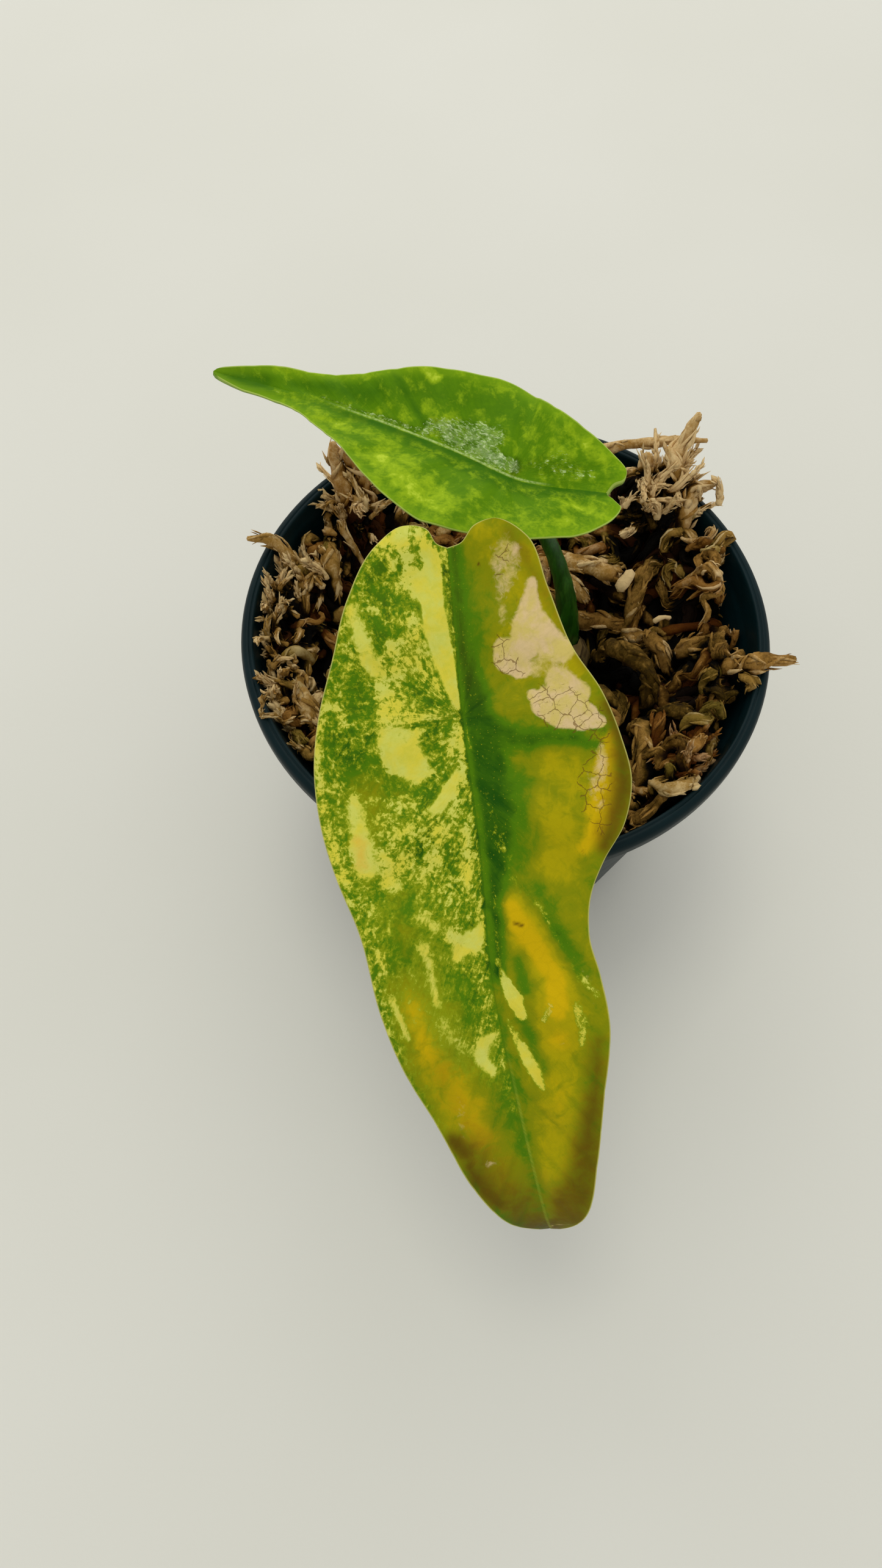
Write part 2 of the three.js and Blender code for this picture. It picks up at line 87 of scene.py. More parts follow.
# Blades
TIP_START = 0.012
BLADE_THICKNESS = 0.8
MIDRIB_THICKNESS = 1.3
MIDRIB_HALF_WIDTH = 1.7
MARGIN_WAVE = 0.7
RIDGE_HEIGHT = 0.32
FURROW_DEPTH = 0.16
VEIN_SPREAD = 1.7
VEIN_REACH = 12
VEIN_FAN = 14
# Shift of the right half's streak pattern, so that the halves do not mirror each other
HALF_SHIFT = 40.0


# Numbers and curves


def clamp01(x):
    return np.clip(x, 0.0, 1.0)


def smoothstep(low, high, x):
    """3t^2 - 2t^3 for t from 0 at low to 1 at high."""
    t = clamp01((x - low) / (high - low))
    return t * t * (3 - 2 * t)


def draw(i, k):
    """The repeatable draw used for the CAD model: the fraction of sin(12.9898 i + 78.233 k) * 43758.5453."""
    value = np.sin(i * 12.9898 + k * 78.233) * 43758.5453
    return value - np.floor(value)


def lengths(points):
    """Distances along a row of points, from its first point."""
    steps = np.linalg.norm(np.diff(np.asarray(points, float), axis=0), axis=1)
    return np.concatenate([[0.0], np.cumsum(steps)])


def spline(x, knots, values):
    """Cubic Hermite curve through values (n, k) at knots, with slopes weighted by the spacing of the knots."""
    x = np.asarray(x, float)
    knots = np.asarray(knots, float)
    values = np.asarray(values, float)
    steps = np.diff(knots)
    slopes = np.diff(values, axis=0) / steps[:, None]
    tangents = np.empty_like(values)
    tangents[0] = slopes[0]
    tangents[-1] = slopes[-1]
    inner = slopes[:-1] * steps[1:, None] + slopes[1:] * steps[:-1, None]
    tangents[1:-1] = inner / (steps[:-1] + steps[1:])[:, None]
    i = np.clip(np.searchsorted(knots, x, side="right") - 1, 0, len(steps) - 1)
    h = steps[i]
    t = (x - knots[i]) / h
    t2 = t * t
    t3 = t2 * t
    return (
        (2 * t3 - 3 * t2 + 1)[..., None] * values[i]
        + ((t3 - 2 * t2 + t) * h)[..., None] * tangents[i]
        + (3 * t2 - 2 * t3)[..., None] * values[i + 1]
        + ((t3 - t2) * h)[..., None] * tangents[i + 1]
    )


def unit(v):
    """Vectors brought to length 1."""
    return v / np.maximum(np.linalg.norm(v, axis=-1, keepdims=True), 1e-9)


def linear(colour):
    """An sRGB hex colour as linear RGBA."""
    channels = [int(colour[k : k + 2], 16) / 255 for k in (1, 3, 5)]
    return [c / 12.92 if c <= 0.04045 else ((c + 0.055) / 1.055) ** 2.4 for c in channels] + [1.0]


# Meshes


def make_piece(name, vertices, quads, triangles, material, replaces=(), fields=(), uvs=None):
    """A piece of the object from arrays in millimetres: it rides on the one body and may stand for CAD nodes."""
    quads = np.asarray(quads, np.int32).reshape(-1, 4)
    triangles = np.asarray(triangles, np.int32).reshape(-1, 3)
    corners = np.concatenate([quads.ravel(), triangles.ravel()])
    sizes = np.concatenate([np.full(len(quads), 4), np.full(len(triangles), 3)])
    starts = np.concatenate([[0], np.cumsum(sizes)[:-1]])
    mesh = bpy.data.meshes.new(name)
    mesh.vertices.add(len(vertices))
    mesh.vertices.foreach_set("co", (np.asarray(vertices, np.float64) * MM).astype(np.float32).ravel())
    mesh.loops.add(len(corners))
    mesh.loops.foreach_set("vertex_index", corners.astype(np.int32))
    mesh.polygons.add(len(sizes))
    mesh.polygons.foreach_set("loop_start", starts.astype(np.int32))
    mesh.polygons.foreach_set("use_smooth", np.full(len(sizes), True))
    mesh.update(calc_edges=True)
    for field, kind, values in fields:
        attribute = mesh.attributes.new(field, kind, "POINT")
        key = {"FLOAT": "value", "FLOAT_VECTOR": "vector"}[kind]
        attribute.data.foreach_set(key, np.asarray(values, np.float32).ravel())
    if uvs is not None:
        layer = mesh.uv_layers.new(name="OFBake")
        layer.data.foreach_set("uv", np.asarray(uvs, np.float32)[corners].ravel())
    mesh.materials.append(material)
    piece = bpy.data.objects.new(name, mesh)
    bpy.context.scene.collection.objects.link(piece)
    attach(piece, "root")
    if replaces:
        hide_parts(*replaces)
    return piece


# Share of a map cell left free along its edges
MAP_EDGE = 0.06


def atlas_cell(count):
    """Lowest corner (count, 2) and side of the square map cell of each of count parts."""
    side = math.ceil(math.sqrt(count))
    i = np.arange(count)
    return np.stack([i % side, i // side], axis=1) / side, 1 / side


def path_frames(centres, lean=None):
    """Direction T, side S and B = T x S at each point of paths (n, m, 3); S starts at lean and is kept across T."""
    ahead = np.concatenate([centres[:, 1:], centres[:, -1:]], axis=1)
    behind = np.concatenate([centres[:, :1], centres[:, :-1]], axis=1)
    tangents = unit(ahead - behind)
    if lean is None:
        lengthwise = np.abs(tangents[:, 0, 2:3]) > 0.9
        lean = np.where(lengthwise, np.array([[1.0, 0, 0]]), np.array([[0, 0, 1.0]]))
    side = np.array(lean, float)
    across = []
    for k in range(centres.shape[1]):
        t = tangents[:, k]
        side = unit(side - np.sum(side * t, axis=1, keepdims=True) * t)
        across.append(side)
    across = np.stack(across, axis=1)
    return tangents, across, np.cross(tangents, across)


def closed_faces(rings, sides):
    """Faces of a closed surface of rings of `sides` corners, counted ring by ring, with a pole point at each end.

    The first pole comes after all the rings and the last pole after it. Returns quads and triangles."""
    k, j = np.meshgrid(np.arange(rings - 1), np.arange(sides), indexing="ij")
    following = (j + 1) % sides
    below, above = k * sides, (k + 1) * sides
    quads = np.stack([below + j, below + following, above + following, above + j], axis=-1).reshape(-1, 4)
    ring = np.arange(sides)
    turned = (ring + 1) % sides
    last_ring = (rings - 1) * sides
    first_pole = np.stack([np.full(sides, rings * sides), turned, ring], axis=-1)
    last_pole = np.stack([np.full(sides, rings * sides + 1), last_ring + ring, last_ring + turned], axis=-1)
    return quads, np.concatenate([first_pole, last_pole])


def tubes(centres, radii, sides, flatness=None, lean=None):
    """Closed tubes round paths (n, m, 3), all with m rings of `sides` corners and a cap point at each end.

    Ring corner = centre + r cos(a) S + r f sin(a) B, where T is the path's direction, S is kept across it from
    ring to ring, B = T x S, f is flatness and r is from radii (n, m) or (n, m, sides). A cap point stands half a
    radius past its ring. Returns vertices, quads, triangles and map coordinates."""
    n, m, _ = centres.shape
    if radii.ndim == 2:
        radii = np.repeat(radii[:, :, None], sides, axis=2)
    tangents, across, other = path_frames(centres, lean)
    flat = np.ones((n, m)) if flatness is None else np.broadcast_to(flatness, (n, m))
    angle = 2 * np.pi * np.arange(sides) / sides
    rings = (
        centres[:, :, None]
        + (radii * np.cos(angle))[..., None] * across[:, :, None]
        + (radii * flat[:, :, None] * np.sin(angle))[..., None] * other[:, :, None]
    )
    first = centres[:, 0] - tangents[:, 0] * radii[:, 0].mean(axis=1, keepdims=True) * 0.5
    last = centres[:, -1] + tangents[:, -1] * radii[:, -1].mean(axis=1, keepdims=True) * 0.5
    rings = rings.reshape(n, m * sides, 3)
    vertices = np.concatenate([rings, first[:, None], last[:, None]], axis=1).reshape(-1, 3)
    quads, triangles = closed_faces(m, sides)
    offsets = (np.arange(n) * (m * sides + 2))[:, None, None]
    quads = (quads[None] + offsets).reshape(-1, 4)
    triangles = (triangles[None] + offsets).reshape(-1, 3)
    corner, cell = atlas_cell(n)
    along = (np.arange(m) + 0.5) / (m + 0.5)
    around = np.abs(1 - 2 * np.arange(sides) / sides)
    local = np.stack(np.broadcast_arrays(along[:, None], around[None]), axis=-1).reshape(-1, 2)
    local = np.concatenate([local, [[0.0, 0.5], [1.0, 0.5]]])
    uvs = (corner[:, None] + (MAP_EDGE + (1 - 2 * MAP_EDGE) * local[None]) * cell).reshape(-1, 2)
    return vertices, quads, triangles, uvs


def joined(parts):
    """Several (vertices, quads, triangles, uvs) sets as one; each keeps its own square of the map."""
    vertices, quads, triangles, uvs = [], [], [], []
    corner, cell = atlas_cell(len(parts))
    offset = 0
    for (v, q, t, uv), low in zip(parts, corner):
        vertices.append(v)
        quads.append(q + offset)
        triangles.append(t + offset)
        uvs.append(low + uv * cell)
        offset += len(v)
    return np.concatenate(vertices), np.concatenate(quads), np.concatenate(triangles), np.concatenate(uvs)


# Materials


# Nodes by plain name: Blender's type, settings, inputs in the order they are given, and output
NODES = {
    "field": ("Attribute", {}, (), "Fac"),
    "vector_field": ("Attribute", {}, (), "Vector"),
    "object_place": ("TexCoord", {}, (), "Object"),
    "parts": ("SeparateXYZ", {}, (0,), slice(3)),
    "upright": ("CombineXYZ", {}, ("Z",), 0),
    "scaled": ("Mapping", {}, ("Vector", "Scale", "Location"), 0),
    "noise": ("TexNoise", {}, ("Vector", "Scale", "Detail", "Roughness", "Distortion"), "Fac"),
    "colour_noise": ("TexNoise", {}, ("Vector", "Scale", "Detail"), "Color"),
    "cell_edges": (
        "TexVoronoi", {"feature": "DISTANCE_TO_EDGE", "voronoi_dimensions": "2D"},
        ("Vector", "Scale", "Randomness"), "Distance",
    ),
    "step": ("MapRange", {"interpolation_type": "SMOOTHSTEP"}, (0, 1, 2, 3, 4), 0),
    "mix": ("Mix", {"data_type": "RGBA"}, (0, 6, 7), 2),
    "bump": ("Bump", {}, ("Height", "Distance", "Strength", "Normal"), 0),
    "multiply_add_vector": ("VectorMath", {"operation": "MULTIPLY_ADD"}, (0, 1, 2), 0),
}
for operation in ("ADD", "SUBTRACT", "MULTIPLY", "MULTIPLY_ADD", "DIVIDE", "FRACT", "ABSOLUTE", "MAXIMUM"):
    NODES[operation.lower()] = ("Math", {"operation": operation}, (0, 1, 2), 0)


class Surface:
    """A material and the nodes that lead to its shader."""

    def __init__(self, name):
        self.material = bpy.data.materials.new(name)
        self.material.use_nodes = True
        self.tree = self.material.node_tree
        self.shader = self.tree.nodes["Principled BSDF"]

    def give(self, socket, value):
        """Link a socket to an output, or set it to a number, a vector or an sRGB hex colour."""
        if isinstance(value, bpy.types.NodeSocket):
            self.tree.links.new(value, socket)
        else:
            socket.default_value = linear(value) if isinstance(value, str) else value

    def node(self, kind, *inputs, **settings):
        """Add a node of the table with its inputs and further settings, and return its output."""
        blender_type, fixed, sockets, output = NODES[kind]
        made = self.tree.nodes.new("ShaderNode" + blender_type)
        for key, value in {**fixed, **settings}.items():
            setattr(made, key, value)
        for key, value in zip(sockets, inputs):
            self.give(made.inputs[key], value)
        return made.outputs[output]

    def finish(self, **sockets):
        """Give the shader its sockets and return the material."""
        for key, value in sockets.items():
            self.give(self.shader.inputs[key.replace("_", " ")], value)
        return self.material


# Blades, in the CAD model's numbers

LARGE_BLADE = {
    "midrib": [
        [-11.2, -13.3, 119.3], [-8.9, -34.9, 105.8], [-6.1, -53.6, 95.9], [-4.3, -70.4, 86.9],
        [-0.6, -86.4, 77.1], [2.6, -97.7, 68.5], [5, -104, 60.5], [6.8, -105.6, 52.5],
    ],
    "across": [1, 0, 0],
    "tip": 91,
    "tip_round": 0.9,
    "notch": -25.7,
    "sinus": [
        [[-25.7, 0], [-26.4, -1.5], [-28.6, -2.8], [-29.5, -6.5]],
        [[-25.7, 0], [-26.2, 2], [-28.6, 4.3], [-29.4, 7.4]],
    ],
    "edge": [
        [
            [-29.5, -6.5], [-26.8, -11], [-19.2, -15.9], [-10, -19.2], [-2.2, -22.2], [4.2, -23.9], [13.5, -24.3],
            [23, -22.8], [34, -19.4], [44, -18.1], [52.8, -16.4], [63.6, -12.9], [75, -9.6], [84, -5.4], [91, -0.4],
        ],
        [
            [-29.4, 7.4], [-26.5, 12.2], [-18.7, 14.9], [-9.2, 18], [-1.9, 21.9], [6.3, 24.2], [13.4, 25],
            [19.5, 23], [24.2, 19.2], [29, 16.8], [35, 16], [43, 16.9], [51, 17], [62.7, 14], [74, 10.7], [84, 7],
            [91, 0.4],
        ],
    ],
    "lean": [0.13, 0.13],
    "bend": 0.0065,
    "quilt": 0.45,
    "veins": 8,
    "vein_spacing": 9.5,
}

YOUNG_BLADE = {
    "midrib": [
        [15.6, 5.7, 109.4], [-0.6, 9.3, 108.9], [-8.8, 13, 110.1], [-19.1, 17.5, 111.1],
        [-29.2, 22.6, 110.7], [-39, 27.4, 110.2], [-46.8, 30.8, 109.6], [-51.8, 31.3, 110.9],
    ],
    "across": [0, -1, 0],
    "tip": 57.5,
    "tip_round": 1.7,
    "notch": -16.5,
    "sinus": [
        [[-16.5, 0], [-17.3, -1.4], [-18.8, -2.5], [-19.1, -4.6]],
        [[-16.5, 0], [-16.7, 0.8], [-17.8, 1.9], [-19.2, 3.2]],
    ],
    "edge": [
        [
            [-19.1, -4.6], [-16.3, -7.1], [-11.7, -10.5], [-5.5, -14], [1, -16.2], [7, -17.2], [12.7, -15.4],
            [20.1, -12.4], [26, -9.7], [32, -7.3], [39, -4.9], [46, -3.7], [52, -2.2], [57.5, -0.4],
        ],
        [
            [-19.2, 3.2], [-18.4, 6], [-15.1, 9.4], [-8, 12.4], [-1, 15.3], [4.4, 17.6], [8.5, 17.9],
            [14.8, 15.9], [20.5, 12.9], [27.1, 8.8], [32.7, 6.6], [38.5, 3.9], [46, 2.8], [52, 2.9], [57.5, 0.4],
        ],
    ],
    "lean": [0.45, 0.26],
    "bend": 0.008,
    "quilt": 0.35,
    "veins": 7,
    "vein_spacing": 6.5,
}


def midrib_frame(blade, p):
    """Point, direction across and upward normal of the midrib at p, as in the CAD model."""
    along = lengths(blade["midrib"])
    knots = along - along[1]
    first, last = knots[0], knots[-1]
    inside = np.clip(p, first, last)
    ahead = spline(np.minimum(inside + 0.01, last), knots, blade["midrib"])
    behind = spline(np.maximum(inside - 0.01, first), knots, blade["midrib"])
    direction = unit(ahead - behind)
    point = spline(inside, knots, blade["midrib"]) + direction * (p - inside)[..., None]
    reference = np.asarray(blade["across"], float)
    across = unit(reference - np.sum(direction * reference, axis=-1, keepdims=True) * direction)
    return point, across, np.cross(direction, across)


def vein_place(p, q):
    """Coordinates along the side veins: c is the same all along a vein, a is the distance along it.

    Ahead of the stalk a vein leaves the midrib at p = c and runs p = c + |q| (0.1 + 1.7 (1 - exp(-c / 12))),
    found by halving. Behind the stalk the veins fan out from the stalk: c = 14 (angle - 0.1)."""
    reach = np.abs(q)
    low = np.zeros_like(p)
    high = np.maximum(p, 0.0)
    for _ in range(30):
        middle = (low + high) / 2
        beyond = middle + reach * (0.1 + VEIN_SPREAD * (1 - np.exp(-middle / VEIN_REACH))) > p
        high = np.where(beyond, middle, high)
        low = np.where(beyond, low, middle)
    slope = 0.1 + VEIN_SPREAD * (1 - np.exp(-low / VEIN_REACH))
    angle = np.arctan2(p, reach)
    behind = angle < 0.1
    across_veins = np.where(behind, VEIN_FAN * (angle - 0.1), low)
    return across_veins, np.where(behind, np.hypot(p, q), reach * np.sqrt(1 + slope**2))


def blade_grid(blade, rows, columns):
    """The blade's surface on a grid of rows from tip to notch and columns from midrib to margin, for each half.

    The outline of a half is one smooth curve through notch, lobe and margin, so that the lobes are round.
    Flat place (p, q) = (1 - v) middle(u) + v margin(u) + u^6 (bay(v) - chord(v)), with the bay the part of the
    outline from notch to lobe and the chord the straight line between its ends. q shrinks as the height of a
    circle over the last tip_round millimetres, which rounds the tip. The point stands on the midrib's frame at
    q cos(lean) across and the lift upwards. Lift = |q| sin(lean) - bend q^2 + quilting + margin wave, with a
    raised midrib and shallow furrows over the side veins added to the CAD form. The last grid is the distance to
    the outline."""
    u = TIP_START + (1 - TIP_START) * np.linspace(0, 1, rows + 1)
    v = np.linspace(0, 1, columns + 1) ** 1.2
    halves = []
    for half in (0, 1):
        edge = np.asarray(blade["edge"][half], float)
        sinus = np.asarray(blade["sinus"][half], float)
        outline = np.concatenate([sinus, edge[1:]])
        along = lengths(outline)
        lobe = along[len(sinus) - 1]
        margin = spline(lobe + (along[-1] - lobe) * (1 - u), along, outline)
        bay = spline(lobe * v, along, outline)
        middle = np.stack([blade["tip"] + (blade["notch"] - blade["tip"]) * u, np.zeros_like(u)], axis=-1)
        chord = (1 - v)[:, None] * sinus[0] + v[:, None] * sinus[-1]
        flat = (1 - v)[None, :, None] * middle[:, None] + v[None, :, None] * margin[:, None]
        flat = flat + (u**6)[:, None, None] * (bay - chord)[None]
        from_end = clamp01((middle[0, 0] - middle[:, 0]) / blade["tip_round"])
        flat[..., 1] *= (0.15 + 0.85 * np.sqrt(1 - (1 - from_end) ** 2))[:, None]
        p, q = flat[..., 0], flat[..., 1]
        to_tip = blade["tip"] - p
        fade = clamp01(to_tip / 25)
        fold = np.abs(q) * math.sin(blade["lean"][half]) - blade["bend"] * q * q
        vein_phase = blade["veins"] * u[:, None] + 0.6 * v[None]
        quilt = blade["quilt"] * np.sin(np.pi * v)[None] * np.sin(2 * np.pi * vein_phase)
        wave = MARGIN_WAVE * (v * v)[None] * np.sin(u * 17 + half * 2)[:, None]
        vein, _ = vein_place(p, q)
        spacing = blade["vein_spacing"]
        aside = np.abs((vein / spacing + 0.5) % 1 - 0.5) * spacing
        furrow = -FURROW_DEPTH * np.exp(-((aside / 0.9) ** 2)) * smoothstep(0.5, 3.0, np.abs(q)) * fade
        ridge_width = 0.55 + 0.75 * clamp01(to_tip / 80)
        ridge = RIDGE_HEIGHT * np.exp(-((q / ridge_width) ** 2)) * smoothstep(-3, 4, p) * fade
        lift = fold + (quilt + wave) * fade + furrow + ridge
        point, across, normal = midrib_frame(blade, p)
        upper = point + across * (q * math.cos(blade["lean"][half]))[..., None] + normal * lift[..., None]
        taper = np.clip(to_tip / 60, 0.15, 1)
        rib = MIDRIB_THICKNESS * np.exp(-((q / MIDRIB_HALF_WIDTH) ** 2)) * taper
        thin = 0.35 + 0.65 * smoothstep(0, 0.12, 1 - v)[None] * smoothstep(0, 0.02, u)[:, None]
        lower = upper - normal * ((BLADE_THICKNESS * thin) + rib - ridge * 0.2)[..., None]
        to_margin = np.linalg.norm(margin[:, None] - flat, axis=-1)
        to_bay = np.linalg.norm(bay[None] - flat, axis=-1) + 40 * (1 - u[:, None])
        grids = [upper, lower, p, q, np.minimum(to_margin, to_bay)]
        halves.append([grid[:, ::-1][:, :-1] if half == 0 else grid for grid in grids])
    return [np.concatenate([a, b], axis=1) for a, b in zip(*halves)]


def painted(p, q, start, strokes):
    """A smooth field over the blade: each stroke paints its level over what is there.

    A stroke is (level, softness, [(p, q, radius), ...]); its weight is the smooth step of radius minus the
    distance to its line, from -softness to +softness in millimetres."""
    field = np.array(start, float) + np.zeros_like(p)
    for level, softness, points in strokes:
        inside = np.full_like(p, -1e9)
        row = points if len(points) > 1 else points * 2
        for (p0, q0, r0), (p1, q1, r1) in zip(row[:-1], row[1:]):
            along = np.array([p1 - p0, q1 - q0], float)
            t = clamp01(((p - p0) * along[0] + (q - q0) * along[1]) / max(along @ along, 1e-9))
            distance = np.hypot(p - p0 - t * along[0], q - q0 - t * along[1])
            inside = np.maximum(inside, r0 + (r1 - r0) * t - distance)
        field += (level - field) * smoothstep(-softness, softness, inside)
    return field


# Cream tissue of the large blade: level 1 is solid cream, 0 solid green, and between them they mottle. One stroke is
# a painted sheen on the bulge of the right margin
CREAM_AND_SHEEN = [
    (0.62, 3.0, [(-8, -9, 6), (-3, -9, 4)]),
    (0.55, 3.0, [(18, -10, 6), (24, -8, 6)]),
    (0.30, 3.0, [(30, -12, 6), (46, -8, 7)]),
    (-0.20, 4.0, [(64, -7, 8), (88, -4, 10)]),
    (-0.10, 2.5, [(48.5, -13.4, 1.2), (54.0, -12.6, 2.6), (62.0, -10.0, 3.0)]),
    (1.15, 1.4, [(-28.4, -8.0, 2.8), (-25.5, -5.8, 3.4), (-20.5, -4.4, 2.2)]),
    (1.70, 0.6, [(-24.0, -3.2, 1.9), (-16.6, -3.1, 1.6), (-11.0, -2.2, 1.5), (-6.2, -1.3, 1.0), (-1.9, -0.5, 0.5)]),
    (0.20, 0.7, [(-27.2, -5.2, 0.6), (-23.4, -4.4, 0.8)]),
    (0.25, 0.7, [(-26.4, -8.4, 0.6), (-23.8, -7.6, 0.9)]),
    (0.10, 0.6, [(-29.0, -8.9, 0.7)]),
    (0.00, 1.0, [(-23.4, -11.0, 1.2), (-20.6, -10.6, 1.7)]),
    (0.12, 0.9, [(-18.8, -8.2, 1.1), (-16.8, -5.7, 1.1)]),
    (0.00, 0.9, [(-15.2, -11.8, 1.4), (-14.0, -9.8, 1.4), (-11.4, -11.6, 0.9)]),
    (0.97, 0.7, [(-17.8, -15.3, 0.8), (-13.5, -14.4, 1.1), (-8.6, -13.0, 1.2)]),
    (1.00, 0.4, [(-12.2, -10.0, 0.7), (-10.6, -9.6, 0.7)]),
    (0.92, 0.7, [(-15.9, -6.2, 0.8), (-13.9, -5.7, 0.8)]),
    (0.20, 1.2, [(-14.0, -18.0, 1.0), (-7.0, -19.5, 1.4)]),
    (0.03, 1.2, [(-6.0, -15.8, 2.2), (-3.0, -15.0, 2.4), (-1.0, -18.5, 2.2)]),
    (0.85, 0.8, [(-3.0, -18.8, 0.9), (-0.9, -18.2, 0.8)]),
    (0.95, 0.9, [(-5.8, -11.8, 0.9), (-1.4, -11.6, 1.6)]),
    (0.08, 0.9, [(-5.2, -7.4, 1.1), (-3.2, -4.8, 1.2), (-2.2, -2.8, 0.6)]),
    (0.80, 0.5, [(-0.7, -9.0, 0.7), (-0.5, -2.0, 0.4)]),
    (0.03, 0.4, [(0.5, -8.4, 0.4), (0.2, -1.6, 0.35)]),
    (0.05, 1.6, [(2.0, -20.4, 1.9), (4.5, -16.8, 2.8), (8.0, -17.0, 2.6), (9.0, -12.2, 1.8)]),
    (1.02, 0.8, [(2.6, -11.0, 2.4), (4.6, -10.4, 2.9), (6.6, -8.0, 2.3)]),
    (1.40, 1.0, [(3.2, -10.0, 1.4), (5.8, -8.6, 1.6)]),
    (0.98, 0.6, [(1.6, -12.6, 0.9), (2.0, -7.6, 1.0)]),
    (0.10, 0.7, [(3.2, -5.6, 0.9), (5.6, -4.8, 1.1)]),
    (0.92, 0.4, [(1.2, -0.9, 0.4), (6.2, -3.0, 0.7)]),
    (1.30, 0.6, [(8.6, -1.9, 0.5), (11.2, -3.6, 1.2), (13.2, -5.7, 0.9)]),
    (0.85, 0.3, [(2.0, -0.5, 0.3), (10.5, -1.1, 0.5)]),
    (0.10, 0.9, [(6.5, -2.6, 0.5), (11.5, -6.6, 0.9)]),
    (1.00, 0.9, [(10.4, -18.7, 0.9), (14.0, -18.4, 1.2), (18.5, -18.2, 1.8), (21.6, -17.8, 1.7)]),
    (0.80, 0.8, [(-4.0, -21.4, 0.7), (1.0, -23.2, 0.9), (12.0, -23.6, 0.6), (24.0, -21.4, 0.8)]),
    (0.10, 0.7, [(18.8, -9.6, 0.8), (20.6, -8.6, 0.8)]),
    (0.08, 0.8, [(19.8, -5.2, 0.8), (23.4, -4.7, 1.0)]),
    (0.90, 0.5, [(16.5, -1.6, 0.4), (21.5, -1.9, 0.7), (26.0, -2.6, 0.8)]),
    (0.78, 0.6, [(10.5, -1.9, 0.3), (17.0, -5.2, 0.6), (24.0, -9.6, 0.8)]),
    (0.88, 0.8, [(20.5, -14.8, 1.1), (24.8, -13.8, 1.4)]),
    (0.05, 1.0, [(27.5, -12.0, 1.1), (36.0, -13.8, 1.8)]),
    (1.25, 0.6, [(32.8, -0.9, 0.5), (34.8, -2.4, 1.7), (35.6, -4.2, 1.1), (37.0, -5.0, 0.6)]),
    (0.95, 0.5, [(33.4, -5.6, 1.2), (35.0, -4.0, 1.0)]),
    (0.74, 0.7, [(30.0, -9.8, 1.1), (32.2, -8.0, 0.8)]),
    (0.80, 0.5, [(35.0, -9.9, 0.9), (37.5, -9.4, 0.6), (43.0, -9.1, 0.6)]),
    (0.90, 0.4, [(34.8, -17.2, 0.4), (37.2, -16.5, 0.4)]),
    (0.95, 0.4, [(42.0, -15.9, 0.5), (47.5, -14.5, 0.3)]),
    (0.06, 1.0, [(40.5, -5.0, 1.8), (46.5, -4.0, 1.6)]),
    (1.10, 0.7, [(49.7, -1.2, 0.4), (50.8, -3.3, 1.0), (53.2, -4.0, 1.0), (55.4, -2.6, 0.7)]),
    (0.60, 0.9, [(46.0, -9.0, 1.2), (50.5, -6.5, 1.0)]),
    (-1.5, 0.5, [(-30.0, 7.6, 7.6), (-6.0, 13.6, 13.5), (30.0, 14.2, 14.1), (60.0, 12.2, 12.1), (92.0, 9.2, 9.1)]),
    (0.55, 0.4, [(0.8, 0.5, 0.3), (5.0, 0.7, 0.25)]),
    (-0.10, 1.4, [(12.0, 2.0, 0.8), (20.0, 3.6, 1.8), (28.0, 5.6, 1.2)]),
    (0.20, 0.7, [(26.0, 1.7, 0.5), (38.0, 1.5, 0.6)]),
    (0.45, 0.8, [(27.4, 6.9, 0.3), (29.9, 8.6, 0.8), (34.1, 10.3, 0.5), (38.7, 12.3, 0.3), (43.0, 13.3, 0.5)]),
    # painted sheen on the bulge of the right margin, drawn as cream
    (0.58, 0.8, [(42.5, 13.8, 0.8), (46.2, 15.8, 0.9)]),
    (0.80, 0.7, [(38.6, 1.4, 0.5), (41.5, 2.0, 0.9), (44.0, 2.6, 0.9)]),
    (1.30, 0.7, [(42.0, 2.4, 0.9), (44.6, 3.0, 1.5), (47.4, 3.6, 1.0)]),
    (0.70, 0.7, [(47.5, 1.3, 0.4), (51.5, 2.2, 1.0), (54.5, 3.1, 1.0), (58.2, 4.0, 0.5)]),
    (1.20, 0.7, [(52.4, 2.7, 0.8), (56.4, 3.8, 1.2), (59.4, 4.6, 0.6)]),
    (0.72, 1.0, [(47.4, 12.4, 1.0), (50.8, 12.8, 1.1), (54.0, 11.9, 0.7)]),
    (0.70, 0.9, [(46.6, 8.2, 1.0), (48.6, 7.0, 0.8)]),
]

# Where the mottle of the large blade is calmer, so that its patches keep smooth outlines
CALM = [
    (0.60, 5.0, [(30.0, -12.0, 6.0), (40.0, -8.0, 6.0)]),
    (0.76, 5.0, [(44.0, -12.0, 5.0), (56.0, -8.0, 6.0), (80.0, -4.0, 6.0)]),
    (0.85, 1.0, [(-20.0, -3.3, 2.4), (-16.6, -3.2, 2.4), (-9.0, -2.0, 1.9), (-1.9, -0.5, 0.8)]),
    (0.70, 1.2, [(2.8, -10.4, 3.2), (6.2, -8.6, 3.2)]),
    (0.75, 0.8, [(-17.8, -15.3, 1.2), (-8.6, -13.0, 1.6)]),
    (0.70, 0.8, [(8.6, -1.9, 0.8), (13.2, -5.7, 1.6)]),
    (0.70, 0.9, [(12.0, -18.6, 1.6), (21.6, -17.8, 2.2)]),
    (0.75, 0.9, [(33.6, -1.6, 1.8), (36.0, -4.6, 1.6)]),
    (0.75, 0.9, [(50.0, -1.8, 1.2), (54.0, -3.6, 1.6)]),
    (0.50, 0.8, [(38.6, 1.4, 1.0), (44.0, 2.8, 1.6), (47.4, 3.4, 1.2)]),
    (0.50, 0.8, [(51.5, 2.2, 1.4), (56.4, 3.6, 1.4), (60.0, 4.4, 0.8)]),
]

